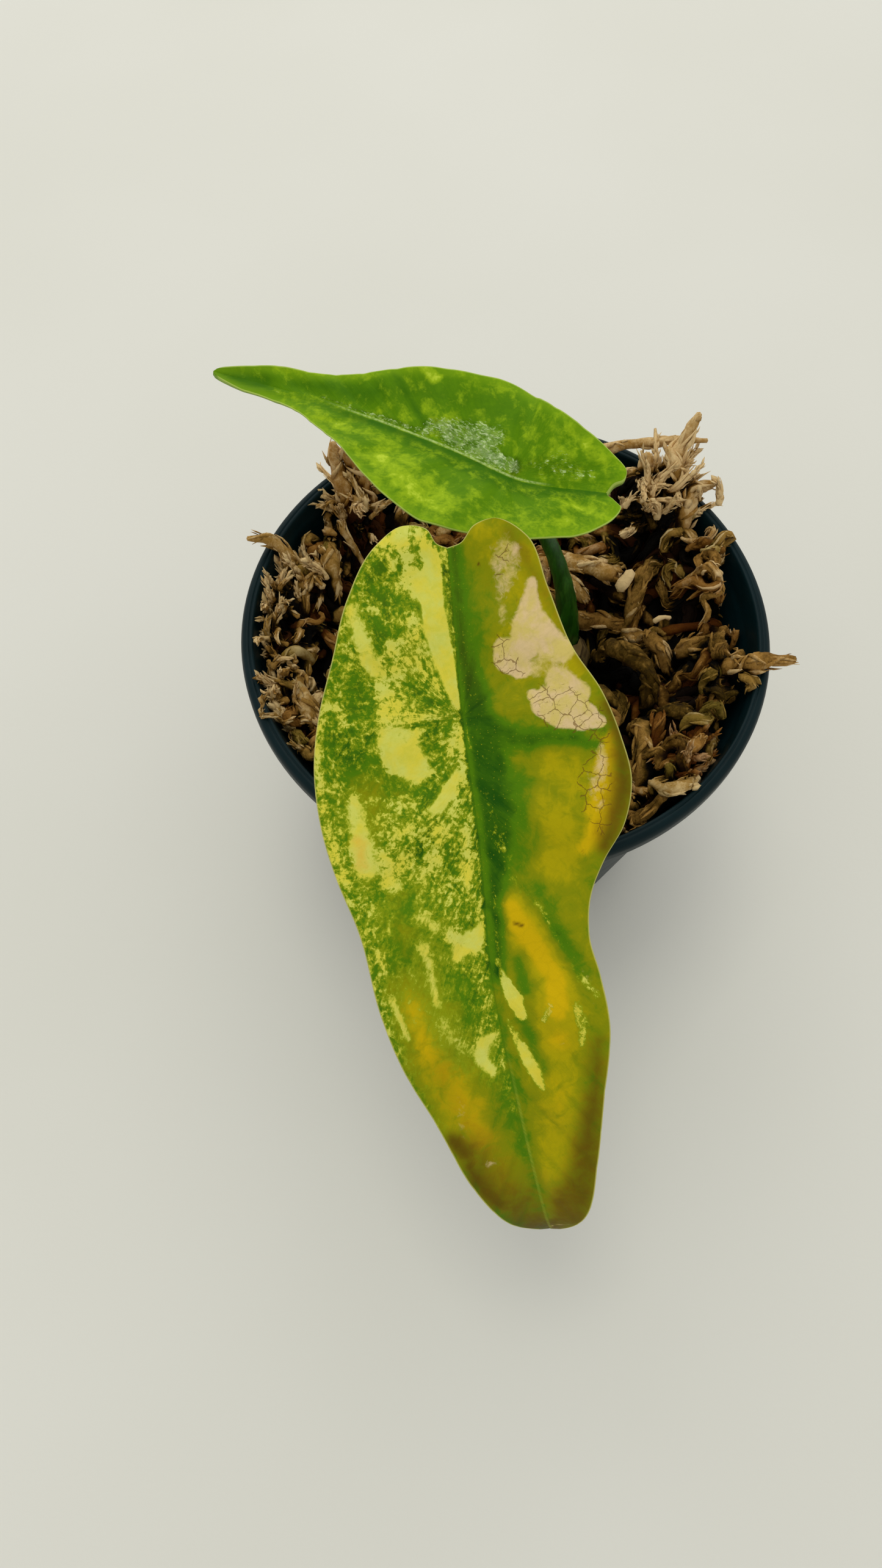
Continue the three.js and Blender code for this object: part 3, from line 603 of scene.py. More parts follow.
# Yellowing of the large blade
YELLOW = [
    (0.25, 5.0, [(-10, -10, 10), (8, -14, 9)]),
    (0.55, 2.5, [(9.5, -15.0, 2.0), (16.0, -17.5, 2.6)]),
    (0.38, 4.0, [(26, -15, 4), (34, -12, 4)]),
    (0.42, 3.0, [(33.0, -9.0, 3.0), (46.0, -7.5, 3.0), (56.0, -6.0, 3.0)]),
    (1.05, 3.0, [(40.6, -13.8, 1.8), (44.0, -12.6, 3.0), (50.5, -11.6, 3.4)]),
    (0.95, 3.0, [(52.0, -13.6, 1.6), (58.0, -11.4, 2.2), (66.0, -9.2, 2.2)]),
    (1.00, 4.0, [(57, -8.4, 3.6), (66, -7, 4), (76, -4, 4)]),
    (0.60, 2.4, [(-22, 5.6, 1.8), (-8, 7.6, 2.8)]),
    (0.85, 3.0, [(-27, 6.5, 2.4), (-22, 11, 3.2), (-14, 14, 3.4), (-6, 18.6, 2.6)]),
    (0.90, 2.0, [(-8.0, 13.0, 2.4), (-5.0, 16.0, 2.4)]),
    (0.85, 2.4, [(8.2, 12.8, 2.2), (11.5, 15.6, 2.8)]),
    (0.95, 2.0, [(15.5, 10.6, 2.0), (19.5, 13.0, 3.2)]),
    (1.05, 1.6, [(23.6, 12.4, 2.6)]),
    (0.80, 2.0, [(10.0, 20.5, 2.0), (16.0, 19.6, 2.4), (21.5, 17.0, 2.0)]),
    (0.75, 1.6, [(25.6, 5.0, 1.0)]),
    (1.20, 1.5, [
        (29.6, 4.3, 2.0), (32.4, 5.5, 2.6), (37.0, 7.8, 2.4), (42.0, 9.8, 2.3), (47.5, 9.2, 3.0), (53.0, 8.4, 3.0),
    ]),
    (0.95, 3.0, [(58.0, 7.0, 2.6), (66.0, 6.2, 2.6), (72.0, 5.0, 2.4)]),
    (0.85, 3.0, [(72, 3.5, 3), (82, 2.4, 3)]),
    (0.70, 3.0, [(78, -2.4, 2.4), (84, -1.6, 2.2)]),
    (0.15, 1.6, [(40.0, -0.4, 1.4), (56.0, -0.1, 1.3), (68.0, 0.0, 1.0), (76.0, 0.2, 0.6), (85.0, 0.6, 0.2)]),
]

# Orange tinge inside the yellow
ORANGE = [
    (0.75, 2.0, [(17.0, -18.6, 1.6), (21.0, -18.2, 1.6)]),
    (0.75, 2.4, [(43.6, -13.2, 1.6), (51.0, -11.8, 2.0)]),
    (0.90, 2.2, [(6.0, 22.3, 1.2), (13.0, 20.8, 2.6), (18.0, 19.2, 2.6), (22.0, 16.6, 1.4)]),
    (1.00, 1.3, [(29.9, 4.3, 1.2), (32.6, 5.5, 1.9), (36.8, 7.6, 1.6), (42.0, 9.7, 1.6), (47.0, 9.4, 1.9)]),
    (0.75, 1.8, [(52.5, 8.6, 2.0)]),
    (0.45, 3.0, [(60.0, 7.0, 2.0), (66.0, 6.0, 1.6)]),
    (0.72, 3.0, [(54.0, -10.0, 2.0), (60.0, -8.0, 3.0), (66.0, -6.4, 2.4)]),
    (0.50, 1.4, [(-20.0, 14.6, 0.6), (-15.0, 16.4, 1.0), (-10.0, 18.6, 0.8)]),
]

# Browned tissue
BROWN = [
    (0.56, 2.2, [(-27.0, 9.6, 1.4), (-17.0, 14.8, 1.5), (-6.0, 20.0, 1.3)]),
    (0.84, 2.6, [(0.0, 22.8, 1.4), (8.0, 24.0, 1.8), (14.0, 23.4, 2.4), (22.0, 19.6, 1.8)]),
    (0.42, 1.6, [(-20.0, 14.4, 0.6), (-15.0, 16.4, 1.0), (-11.0, 18.4, 0.8)]),
    (0.32, 3.0, [(-20.0, 6.0, 1.4), (-16.0, 8.0, 1.4)]),
    (0.40, 4.0, [(52.0, -11.0, 2.0), (60.0, -8.5, 3.4), (70.0, -6.0, 4.4), (82.0, -1.0, 5.5)]),
    (0.66, 3.2, [(67.0, -8.5, 1.8), (74.0, -6.4, 2.8), (84.0, -2.0, 3.6)]),
    (0.76, 3.0, [(54.0, 14.6, 1.2), (64.6, 11.8, 2.4), (72.8, 8.8, 3.2), (79.0, 6.6, 3.4), (84.0, 4.6, 3.0)]),
    (0.78, 3.0, [(79.0, 4.4, 2.0), (84.6, 2.4, 3.0), (88.4, 0.0, 3.0), (86.0, -2.2, 2.4)]),
    (0.30, 1.4, [(72.0, 0.8, 0.6), (84.0, 0.8, 0.4)]),
    (0.98, 1.5, [(65.2, -11.2, 1.1), (67.4, -9.9, 1.1)]),
    (0.90, 1.4, [(70.0, -9.6, 0.6), (73.4, -9.0, 0.9), (78.0, -6.6, 0.8)]),
    (0.90, 0.4, [(32.3, 4.4, 0.3), (32.8, 5.6, 0.35)]),
    (0.60, 0.25, [(33.0, 3.0, 0.1), (33.6, 3.4, 0.12)]),
    (0.95, 0.2, [(-22.8, 4.6, 0.3)]),
    (0.80, 0.2, [(-18.2, 12.3, 0.16)]),
    (0.80, 0.2, [(-17.1, 10.0, 0.14)]),
    (0.80, 0.2, [(-7.4, 10.1, 0.16)]),
    (0.80, 0.2, [(-21.8, 10.6, 0.18)]),
    (0.85, 0.25, [(22.6, 16.0, 0.2)]),
]

# Dried, bleached patches, and a painted sheen on the bulge of the right margin drawn the same way
BLEACH_AND_SHEEN = [
    (0.56, 1.6, [(-26.2, 9.2, 1.2), (-24.0, 8.8, 2.6), (-21.6, 8.6, 2.4), (-19.0, 7.8, 1.4), (-17.0, 7.6, 0.6)]),
    (0.52, 1.0, [(-15.8, 7.5, 0.9), (-14.0, 7.6, 0.9)]),
    (0.95, 1.0, [(-19.6, 12.4, 0.8), (-16.6, 12.0, 1.5), (-13.4, 11.7, 2.8), (-10.4, 12.4, 3.9)]),
    (0.95, 1.2, [(-10.4, 12.6, 4.0), (-8.9, 16.0, 2.2)]),
    (1.05, 0.8, [(-10.2, 7.2, 1.4), (-8.2, 7.6, 1.9), (-6.8, 9.6, 1.8), (-8.0, 12.4, 2.8)]),
    (0.55, 1.3, [(-7.0, 13.0, 2.4), (-5.0, 13.8, 1.6), (-4.0, 16.0, 1.6)]),
    (1.05, 0.7, [(-2.2, 11.2, 1.0), (-0.8, 13.2, 2.5), (0.6, 15.6, 3.1), (2.0, 18.6, 2.4), (3.2, 20.8, 1.3)]),
    (1.00, 0.9, [(-4.4, 15.6, 1.8), (-2.0, 18.6, 1.6)]),
    (0.68, 1.2, [(7.6, 20.8, 0.7), (10.0, 20.7, 1.2), (12.4, 20.2, 1.1)]),
    (0.44, 1.5, [(12.6, 18.8, 1.6), (14.6, 19.2, 1.5), (16.6, 19.6, 1.2)]),
    (0.45, 1.4, [(53.1, 8.9, 0.9)]),
    # painted sheen on the bulge of the right margin, drawn as a bleached patch
    (0.40, 2.0, [(41.5, 14.2, 0.8), (46.5, 15.8, 1.2)]),
    (0.36, 1.4, [(58.4, -9.0, 1.2), (64.3, -9.3, 1.2)]),
    (0.48, 1.3, [(70.5, -6.3, 1.2)]),
    (0.45, 0.5, [(89.2, -1.4, 0.4), (87.0, 1.0, 0.5), (86.6, 4.2, 0.5)]),
]

# Where the dried patches are cracked
CRACKS = [
    (0.9, 0.6, [(-24.4, 8.6, 1.3), (-21.6, 7.6, 0.9)]),
    (1.0, 0.9, [(-10.6, 7.0, 1.4), (-8.0, 7.2, 1.9), (-6.6, 9.4, 1.3)]),
    (1.0, 0.9, [(-2.2, 12.0, 1.6), (0.4, 15.4, 3.7), (2.8, 19.4, 2.7), (5.6, 20.6, 1.8)]),
    (1.0, 1.0, [(8.6, 20.4, 1.4), (12.4, 19.2, 2.7), (16.0, 18.8, 2.4), (19.0, 19.6, 1.4)]),
]

# Deep green tissue; the band beside the midrib is partly its own colour and partly painted shade of the valley there
DEEP = [
    # band beside the midrib: partly the tissue's colour, partly painted shade in the valley along it
    (1.00, 1.6, [
        (-25.5, 1.0, 1.2), (-14.0, 1.6, 1.7), (-3.0, 2.2, 2.2), (3.0, 2.6, 2.6), (9.0, 3.4, 3.4),
        (14.0, 3.6, 3.4), (20.0, 3.0, 2.8), (28.0, 2.0, 1.6), (40.0, 1.2, 0.9),
    ]),
    (0.90, 1.5, [(2.0, 3.0, 2.0), (4.4, 8.0, 1.8), (5.0, 13.0, 1.3), (5.6, 17.0, 1.0), (7.4, 20.2, 0.5)]),
    (0.40, 2.2, [(-22.0, 3.2, 1.4), (-8.0, 3.8, 1.4)]),
    (0.60, 2.4, [(11.0, 7.6, 1.6), (20.0, 6.8, 1.4), (26.0, 5.0, 1.0)]),
    (0.55, 1.6, [(27.0, 8.4, 1.0), (34.0, 11.0, 1.4), (42.0, 13.6, 1.2)]),
    (0.65, 1.2, [(38.5, 4.6, 1.0), (43.0, 4.9, 0.9)]),
    (0.65, 1.2, [(47.6, 3.4, 0.7), (52.0, 4.8, 0.9), (57.0, 5.6, 0.7)]),
    (0.45, 1.5, [(-23.0, -11.0, 2.0), (-14.0, -10.8, 2.6), (-4.0, -16.0, 4.0), (3.0, -18.0, 3.5)]),
    (0.42, 1.5, [(-4.5, -5.5, 2.5), (20.0, -8.0, 2.5), (22.0, -5.0, 1.5)]),
    (0.35, 2.0, [(29.0, -11.0, 1.6), (41.0, -4.0, 2.0)]),
    (0.60, 1.0, [(-4.0, 0.0, 0.4), (38.0, 0.0, 0.4)]),
    (0.10, 1.2, [(46.0, 0.0, 1.0), (86.0, 0.4, 1.0)]),
]

# The young blade: light mottling, darker bands over veins, and the crinkled strip with a painted sheen and painted
# glints
YOUNG_LIGHT = [
    (0.10, 3.0, [(46.0, 0.0, 2.4), (57.0, 0.0, 3.0)]),
    (0.26, 3.0, [(36.0, -2.6, 1.4), (28.0, -5.0, 2.4), (16.0, -9.0, 3.4), (6.0, -11.5, 3.4), (-2.0, -9.5, 2.4)]),
    (0.95, 0.7, [(20.8, -11.8, 0.8), (18.6, -11.0, 1.1)]),
    (0.80, 3.0, [(20.0, 7.4, 2.0), (14.5, 11.0, 3.0), (8.0, 13.2, 2.4)]),
    (0.70, 2.0, [(-1.0, -9.0, 1.2)]),
    (0.60, 1.5, [(0.0, 12.0, 1.2), (-12.0, 8.5, 1.4)]),
    (0.66, 1.2, [(-9.0, -9.5, 1.4), (-15.0, -6.0, 1.0)]),
    (0.60, 1.5, [(13.5, -4.5, 1.2), (18.0, -5.0, 1.2)]),
    (0.60, 1.6, [(28.0, 5.2, 1.4), (36.0, 3.0, 0.8)]),
    (0.60, 1.4, [(30.0, -7.6, 0.6), (46.0, -2.8, 0.5)]),
    (0.02, 0.8, [(25.5, -9.0, 0.5), (17.0, -3.0, 0.5)]),
    (0.12, 1.8, [(42.0, -1.6, 1.0), (27.0, -4.6, 1.6)]),
    (0.22, 1.6, [(13.0, 5.0, 1.2), (6.0, 5.8, 1.5), (0.0, 5.6, 1.3), (-6.0, 3.6, 0.9)]),
    (0.80, 0.9, [(-9.0, 3.6, 0.4), (-14.0, 4.8, 0.9), (-18.0, 6.4, 0.6)]),
]
YOUNG_DEEP = [
    (0.85, 3.0, [(48.0, 0.0, 2.6), (57.0, 0.0, 2.6)]),
    (0.50, 3.0, [(30.0, -4.4, 1.8), (16.0, -8.6, 2.8), (6.0, -11.5, 3.0), (-1.0, -9.0, 1.8)]),
    (0.85, 0.8, [(25.5, -9.0, 0.4), (17.0, -3.0, 0.4)]),
    (0.70, 1.8, [(42.0, -1.6, 1.0), (27.0, -4.6, 1.6)]),
    (0.90, 1.6, [(18.0, 2.0, 0.8), (4.0, 2.6, 1.4), (-12.0, 1.8, 0.9)]),
]
YOUNG_CRINKLE = [
    (0.75, 0.6, [(36.0, -0.9, 0.15), (24.0, -1.0, 0.4), (16.0, -1.3, 0.7)]),
    (0.80, 1.2, [(16.6, -3.0, 1.0), (12.6, -3.4, 1.8), (9.0, -4.6, 2.6), (6.0, -5.4, 2.4)]),
    (0.95, 1.0, [(12.0, -1.7, 1.1), (5.8, -1.8, 1.5), (0.0, -2.2, 1.4)]),
    (0.42, 1.6, [(-3.0, -3.4, 1.2), (-9.0, -3.4, 2.2), (-13.0, -3.2, 1.6)]),
]


def blade_piece(name, blade, rows, columns, material, node, paint):
    """Both faces and the rim of a blade as one closed mesh, with its painted fields.

    The under face follows the upper one point for point, and a strip of quads along each side of the grid joins
    them. Fields: place on the blade, place along the veins, distance to the margin, and the painted levels."""
    upper, lower, p, q, room = blade_grid(blade, rows, columns)
    height, width = p.shape
    count = height * width
    across_veins, along_vein = vein_place(p, q)
    vertices = np.concatenate([upper.reshape(-1, 3), lower.reshape(-1, 3)])
    i, k = np.meshgrid(np.arange(height - 1), np.arange(width - 1), indexing="ij")
    corner = (i * width + k).ravel()
    top = np.stack([corner, corner + 1, corner + 1 + width, corner + width], axis=1)
    under = top[:, ::-1] + count
    left = np.arange(height - 1) * width
    right = left + width - 1
    ends = np.arange(width - 1)
    last = (height - 1) * width + ends
    rim = np.concatenate([
        np.stack([left, left + width, left + width + count, left + count], axis=1),
        np.stack([right, right + count, right + width + count, right + width], axis=1),
        np.stack([ends, ends + count, ends + 1 + count, ends + 1], axis=1),
        np.stack([last, last + 1, last + 1 + count, last + count], axis=1),
    ])
    quads = np.concatenate([top, under, rim])

    def both(grid):
        return np.tile(grid.ravel(), 2)

    place = np.stack([both(p), both(q), np.repeat([0.0, 1.0], count)], axis=1)
    flow = np.stack([both(across_veins), both(along_vein), both((q > 0) * HALF_SHIFT)], axis=1)
    fields = [("blade_mm", "FLOAT_VECTOR", place), ("vein_mm", "FLOAT_VECTOR", flow)]
    fields.append(("rim_mm", "FLOAT", both(room)))
    for field, start, strokes in paint(p, q):
        fields.append((field, "FLOAT", both(painted(p, q, start, strokes))))
    down = (np.arange(height) / (height - 1))[:, None] + np.zeros((1, width))
    over = (np.arange(width) / (width - 1))[None] + np.zeros((height, 1))
    uv_top = np.stack([0.01 + 0.47 * over, 0.01 + 0.98 * down], axis=-1).reshape(-1, 2)
    uvs = np.concatenate([uv_top, uv_top + [0.51, 0.0]])
    return make_piece(name, vertices, quads, [], material, [node], fields, uvs)


def variegated_leaf():
    """Living leaf tissue under a thin wax skin: soft satin with no clear glint, matt where it has dried.

    Green and cream tissue mottle along the veins in ragged patches with crisp edges. The green yellows and browns
    between its veins, and dried patches are bleached and cracked. A sheen on the bulge of the right margin is painted
    in as pale tissue, and the deep green band beside the midrib is partly painted shade. Sizes below are in
    millimetres of blade. Real cells are 0.05 mm across, too fine to show, so the finest grain is drawn at 0.6 mm."""
    s = Surface("variegated_leaf")
    place = s.node("vector_field", attribute_name="blade_mm")
    flow = s.node("vector_field", attribute_name="vein_mm")
    along, across, under = s.node("parts", place)
    vein, _, _ = s.node("parts", flow)
    cream_level, calm, yellow_level, orange_level, brown_level, bleach_and_sheen_level, crack_level, deep, rim = (
        s.node("field", attribute_name=name)
        for name in ("cream", "calm", "yellow", "orange", "brown", "bleach_and_sheen", "crack", "deep", "rim_mm")
    )
    # mottle: streaks 0.87 mm wide and 2.5 mm long, blots of 1.43 mm, crumbs of 0.59 mm, clouds of 5 mm
    streaks = s.node("noise", s.node("scaled", flow, (1 / 0.87, 1 / 2.5, 1)), 1.0, 6, 0.66, 0.6)
    blots = s.node("noise", place, 1 / 1.429, 6, 0.66, 0.7)
    crumbs = s.node("noise", place, 1 / 0.588, 4, 0.62, 0.4)
    clouds = s.node("noise", place, 1 / 5, 4, 0.6, 0.4)
    blot_push = s.node("subtract", blots, 0.5)
    grain = s.node("multiply_add", streaks, 0.75, blots)
    grain = s.node("multiply_add", crumbs, 0.7, grain)
    grain_mean = 0.5 * (0.75 + 1 + 0.7)
    push = s.node("multiply", s.node("subtract", grain, grain_mean), s.node("step", calm, 0.0, 1.0, 3.0, 0.7))
    level = s.node("add", cream_level, push)
    cream_mask = s.node("step", level, 0.46, 0.56)
    halfway = s.node("step", level, -0.05, 0.5)
    # yellowing from deep green to olive and yellow, in mottle of 2.8 mm and lines 0.39 mm wide, held back over the
    # veins, which are 9.5 mm apart, and in deep green tissue
    lines = s.node("noise", s.node("scaled", flow, (1 / 0.385, 1 / 2.5, 1)), 1.0, 4, 0.6)
    mottle = s.node("noise", place, 1 / 2.778, 6, 0.66, 0.6)
    mottle_push = s.node("subtract", mottle, 0.5)
    vein_number = s.node("add", s.node("divide", vein, LARGE_BLADE["vein_spacing"]), 20.5)
    near_vein = s.node("absolute", s.node("subtract", s.node("fract", vein_number), 0.5))
    on_vein = s.node("step", near_vein, 0.0, 0.2, 0.12, 0.0)
    yellow = s.node("subtract", yellow_level, s.node("multiply", deep, 0.92))
    uneven = s.node("subtract", 1.5, s.node("multiply", deep, 1.1))
    yellow = s.node("multiply_add", mottle_push, uneven, yellow)
    yellow = s.node("multiply_add", s.node("subtract", lines, 0.5), 0.25, yellow)
    yellow = s.node("subtract", yellow, on_vein)
    deepest = s.node("mix", s.node("step", along, -9.0, 3.0), "#364c00", "#194a00")
    colour = s.node("mix", s.node("step", yellow, -0.6, -0.05), deepest, "#4c7600")
    colour = s.node("mix", s.node("step", yellow, -0.05, 0.5), colour, "#828600")
    colour = s.node("mix", s.node("step", yellow, 0.45, 1.0), colour, "#a79a00")
    colour = s.node("mix", s.node("multiply", halfway, 0.8), colour, "#8b980c")
    # pale dots of 0.4 mm in the deep green tissue
    dots = s.node("step", s.node("noise", place, 1 / 0.3846, 2, 0.5), 0.64, 0.72)
    dots = s.node("multiply", s.node("multiply", dots, deep), 0.5)
    colour = s.node("mix", dots, colour, "#a8a818")
    orange = s.node("step", s.node("add", orange_level, mottle_push), 0.25, 0.95)
    colour = s.node("mix", s.node("multiply", orange, 0.85), colour, "#cfab00")
    # cream tissue, yellower where the green beside it has yellowed, with a green hem at its edges
    cream = s.node("mix", s.node("step", clouds, 0.35, 0.65), "#d8cb40", "#cdcf60")
    cream = s.node("mix", s.node("multiply", s.node("step", blots, 0.45, 0.65), 0.35), cream, "#bfc03a")
    cream = s.node("mix", s.node("step", yellow_level, 0.4, 1.0, 0.0, 0.5), cream, "#c0ad2a")
    cream = s.node("mix", s.node("multiply", orange, 0.7), cream, "#dcb23c")
    colour = s.node("mix", s.node("multiply", cream_mask, 0.9), colour, "#a8b02c")
    colour = s.node("mix", s.node("step", level, 0.55, 0.9), colour, cream)
    # browned tissue
    brown = s.node("step", s.node("multiply_add", mottle_push, 0.8, brown_level), 0.15, 0.95)
    colour = s.node("mix", s.node("multiply", brown, 0.85), colour, "#553a00")
    # dried patches, and the painted sheen on the bulge of the right margin, which takes their colour
    bleach_and_sheen = s.node("step", s.node("add", bleach_and_sheen_level, blot_push), 0.32, 0.76)
    dried_and_sheen_colour = s.node("mix", s.node("step", clouds, 0.4, 0.6), "#dcbf90", "#d2bc6c")
    dried_and_sheen_colour = s.node("mix", s.node("multiply", s.node("step", crumbs, 0.45, 0.75), 0.2), dried_and_sheen_colour, "#b39a5a")
    colour = s.node("mix", s.node("multiply", bleach_and_sheen, 0.93), colour, dried_and_sheen_colour)
    # their cracks: bent outlines of flakes 2.5 mm across, with finer ones of 1.05 mm here and there
    swirl = s.node("colour_noise", place, 1 / 1.25, 3.0)
    bent = s.node("multiply_add_vector", swirl, (1.3, 1.3, 0.0), place)
    flakes = s.node("cell_edges", s.node("scaled", bent, (1 / 2.5, 1 / 2.5, 0.0)), 1.0, 1.0)
    finer = s.node("cell_edges", s.node("scaled", bent, (1 / 1.053, 1 / 1.053, 0.0), (5, 2, 0)), 1.0, 1.0)
    line = s.node("step", finer, 0.01, 0.05, 0.5, 0.0)
    line = s.node("multiply", line, s.node("step", streaks, 0.53, 0.6))
    line = s.node("maximum", line, s.node("step", flakes, 0.01, 0.034, 1.0, 0.0))
    crack = s.node("multiply", line, s.node("step", s.node("add", crack_level, blot_push), 0.35, 0.6))
    crack = s.node("multiply", crack, s.node("step", streaks, 0.32, 0.44))
    colour = s.node("mix", s.node("multiply", crack, 0.7), colour, "#75501a")
    # faint net of small veins, 2.4 mm apart, where the blade has yellowed
    net = s.node("cell_edges", s.node("scaled", bent, (1 / 2.381, 1 / 2.381, 0.0), (7, 3, 0)), 1.0, 1.0)
    netted = s.node("multiply", s.node("step", net, 0.0, 0.14, 0.06, 0.0), s.node("step", yellow, 0.2, 0.8))
    colour = s.node("mix", s.node("multiply", netted, s.node("subtract", 1.0, cream_mask)), colour, "#4b6400")
    # pale crest of the midrib towards the tip
    crest = s.node("step", s.node("absolute", s.node("subtract", across, 0.3)), 0.06, 0.36, 1.0, 0.0)
    crest = s.node("multiply", crest, s.node("step", along, 48.0, 64.0))
    crest = s.node("multiply", crest, s.node("step", lines, 0.3, 0.7, 0.15, 0.5))
    colour = s.node("mix", crest, colour, "#97a42e")
    # pale margin a quarter of a millimetre wide, and a paler underside
    margin = s.node("step", rim, 0.05, 0.26, 1.0, 0.0)
    colour = s.node("mix", s.node("multiply", margin, 0.75), colour, "#cfc973")
    beneath = s.node("mix", 0.55, colour, "#8d9a4a")
    colour = s.node("mix", s.node("step", under, 0.4, 0.6), colour, beneath)
    # relief: tissue texture, streaks along the veins, crack lines
    relief = s.node("multiply_add", crumbs, 0.5, s.node("multiply", lines, 0.6))
    relief = s.node("multiply_add", cream_mask, 0.12, relief)
    normal = s.node("bump", relief, 0.16 * MM, 0.7)
    normal = s.node("bump", s.node("subtract", 1.0, crack), 0.12 * MM, 0.8, normal)
    roughness = s.node("multiply_add", crumbs, 0.25, 0.4)
    roughness = s.node("add", roughness, s.node("multiply", bleach_and_sheen, 0.2), use_clamp=True)
    return s.finish(Base_Color=colour, Roughness=roughness, Normal=normal, Specular_IOR_Level=0.07)


def green_leaf():
    """Young leaf tissue, thin and fresh: bright green satin with soft lighter mottling.

    Beside the midrib a crumpled strip has a wet film, with a painted sheen and painted glints in its colour, and
    the midrib's groove has a painted shade and a painted highlight. Sizes below are in millimetres of blade, and the
    finest grain is drawn at 0.45 mm, where real cells of 0.05 mm would not show."""
    s = Surface("green_leaf")
    place = s.node("vector_field", attribute_name="blade_mm")
    flow = s.node("vector_field", attribute_name="vein_mm")
    along, across, under = s.node("parts", place)
    light_level, deep_level, crinkle, rim = (
        s.node("field", attribute_name=name) for name in ("cream", "deep", "crinkle", "rim_mm")
    )
    # mottle: streaks 1.25 mm wide and 3.3 mm long, blots of 2.4 mm, crumbs of 0.45 mm
    streaks = s.node("noise", s.node("scaled", flow, (1 / 1.25, 1 / 3.333, 1)), 1.0, 5, 0.6, 0.5)
    blots = s.node("noise", place, 1 / 2.381, 7, 0.62, 0.35)
    crumbs = s.node("noise", place, 1 / 0.4545, 4, 0.66)
    grain = s.node("multiply_add", blots, 1.4, s.node("multiply", streaks, 0.35))
    grain = s.node("multiply_add", crumbs, 0.35, grain)
    grain_push = s.node("subtract", grain, 0.5 * (0.35 + 1.4 + 0.35))
    level = s.node("multiply_add", grain_push, 1.3, light_level)
    lines = s.node("noise", s.node("scaled", flow, (1 / 0.4167, 1 / 2.857, 1)), 1.0, 4, 0.6)
    deep = s.node("step", s.node("add", deep_level, s.node("subtract", blots, 0.5)), 0.1, 0.9)
    colour = s.node("mix", s.node("step", lines, 0.2, 0.8), "#4f7a00", "#5a8400")
    colour = s.node("mix", s.node("multiply", deep, 0.7), colour, "#2d5e00")
    colour = s.node("mix", s.node("step", level, 0.24, 0.88), colour, "#8fad12")
    colour = s.node("mix", s.node("step", level, 0.8, 1.1), colour, "#b4ca34")
    # lighter hem, pale margin a quarter of a millimetre wide, and a paler underside
    colour = s.node("mix", s.node("step", rim, 0.4, 2.6, 0.4, 0.0), colour, "#84a810")
    colour = s.node("mix", s.node("step", rim, 0.05, 0.28, 0.8, 0.0), colour, "#b4c860")
    beneath = s.node("mix", 0.5, colour, "#86a155")
    colour = s.node("mix", s.node("step", under, 0.4, 0.6), colour, beneath)
    # the midrib's groove: painted shade as a dark band on its near side, and a painted highlight as a pale broken
    # line on its far side
    groove = s.node("multiply", s.node("step", across, -0.05, 0.2), s.node("step", across, 0.5, 2.2, 1.0, 0.0))
    groove = s.node("multiply", groove, s.node("step", along, 24.0, 44.0, 1.0, 0.0))
    colour = s.node("mix", s.node("multiply", groove, 0.8), colour, "#275c00")
    crest = s.node("step", s.node("absolute", s.node("add", across, 0.28)), 0.06, 0.3, 1.0, 0.0)
    crest = s.node("multiply", crest, s.node("step", along, -8.0, -2.0))
    crest = s.node("multiply", crest, s.node("step", along, 22.0, 38.0, 1.0, 0.0))
    crest = s.node("multiply", crest, s.node("step", crumbs, 0.35, 0.6, 0.2, 0.75))
    colour = s.node("mix", crest, colour, "#c0d586")
    # crumpled strip: creases across the veins 1.1 mm apart, and crumple of 0.8 by 0.45 mm
    creases = s.node("noise", s.node("scaled", flow, (1 / 1.111, 1 / 1.818, 1)), 1.0, 5, 0.6, 1.6)
    creases = s.node("absolute", s.node("subtract", creases, 0.5))
    crumple = s.node("noise", s.node("scaled", place, (0.8, 1.5, 1.0)), 1.5, 5, 0.66, 0.9)
    crumple_push = s.node("subtract", crumple, 0.5)
    ragged = s.node("multiply_add", crumple_push, 1.6, s.node("multiply", grain_push, 1.2))
    # painted sheen: the crumpled strip is painted a lighter green, with painted glints of near white in it; the same
    # mask gives the real glossy film
    sheen = s.node("step", s.node("add", crinkle, ragged), 0.45, 0.95)
    painted_glints = s.node("multiply", s.node("step", crumple, 0.5, 0.64), sheen)
    colour = s.node("mix", s.node("multiply", sheen, 0.5), colour, "#82ad3a")
    colour = s.node("mix", s.node("multiply", painted_glints, 0.8), colour, "#d9ecae")
    relief = s.node("multiply_add", crumbs, 0.3, s.node("multiply", lines, 0.5))
    normal = s.node("bump", relief, 0.12 * MM, 0.6)
    normal = s.node("bump", s.node("multiply", creases, crinkle), 0.8 * MM, 1.0, normal)
    folds = s.node("multiply", s.node("absolute", crumple_push), crinkle)
    normal = s.node("bump", folds, 0.4 * MM, 1.0, normal)
    roughness = s.node("multiply_add", crumbs, 0.16, 0.42)
    film = s.node("multiply", sheen, 0.3)
    return s.finish(
        Base_Color=colour, Roughness=roughness, Normal=normal, Specular_IOR_Level=0.05,
        Coat_Weight=film, Coat_Roughness=0.16,
    )


def large_paint(p, q):
    """The fields of the large blade: name, level to start from, strokes.

    The left half starts out mottled with cream and the right one green."""
    left = 1 - smoothstep(-0.4, 0.4, q)
    return [
        ("cream", 0.34 * left, CREAM_AND_SHEEN),
        ("calm", 0.0, CALM),
        ("yellow", 0.5 * (1 - left) + 0.1 * left, YELLOW),
        ("orange", 0.0, ORANGE),
        ("brown", 0.0, BROWN),
        ("bleach_and_sheen", 0.0, BLEACH_AND_SHEEN),
        ("crack", 0.0, CRACKS),
        ("deep", 0.2 * left, DEEP),
    ]


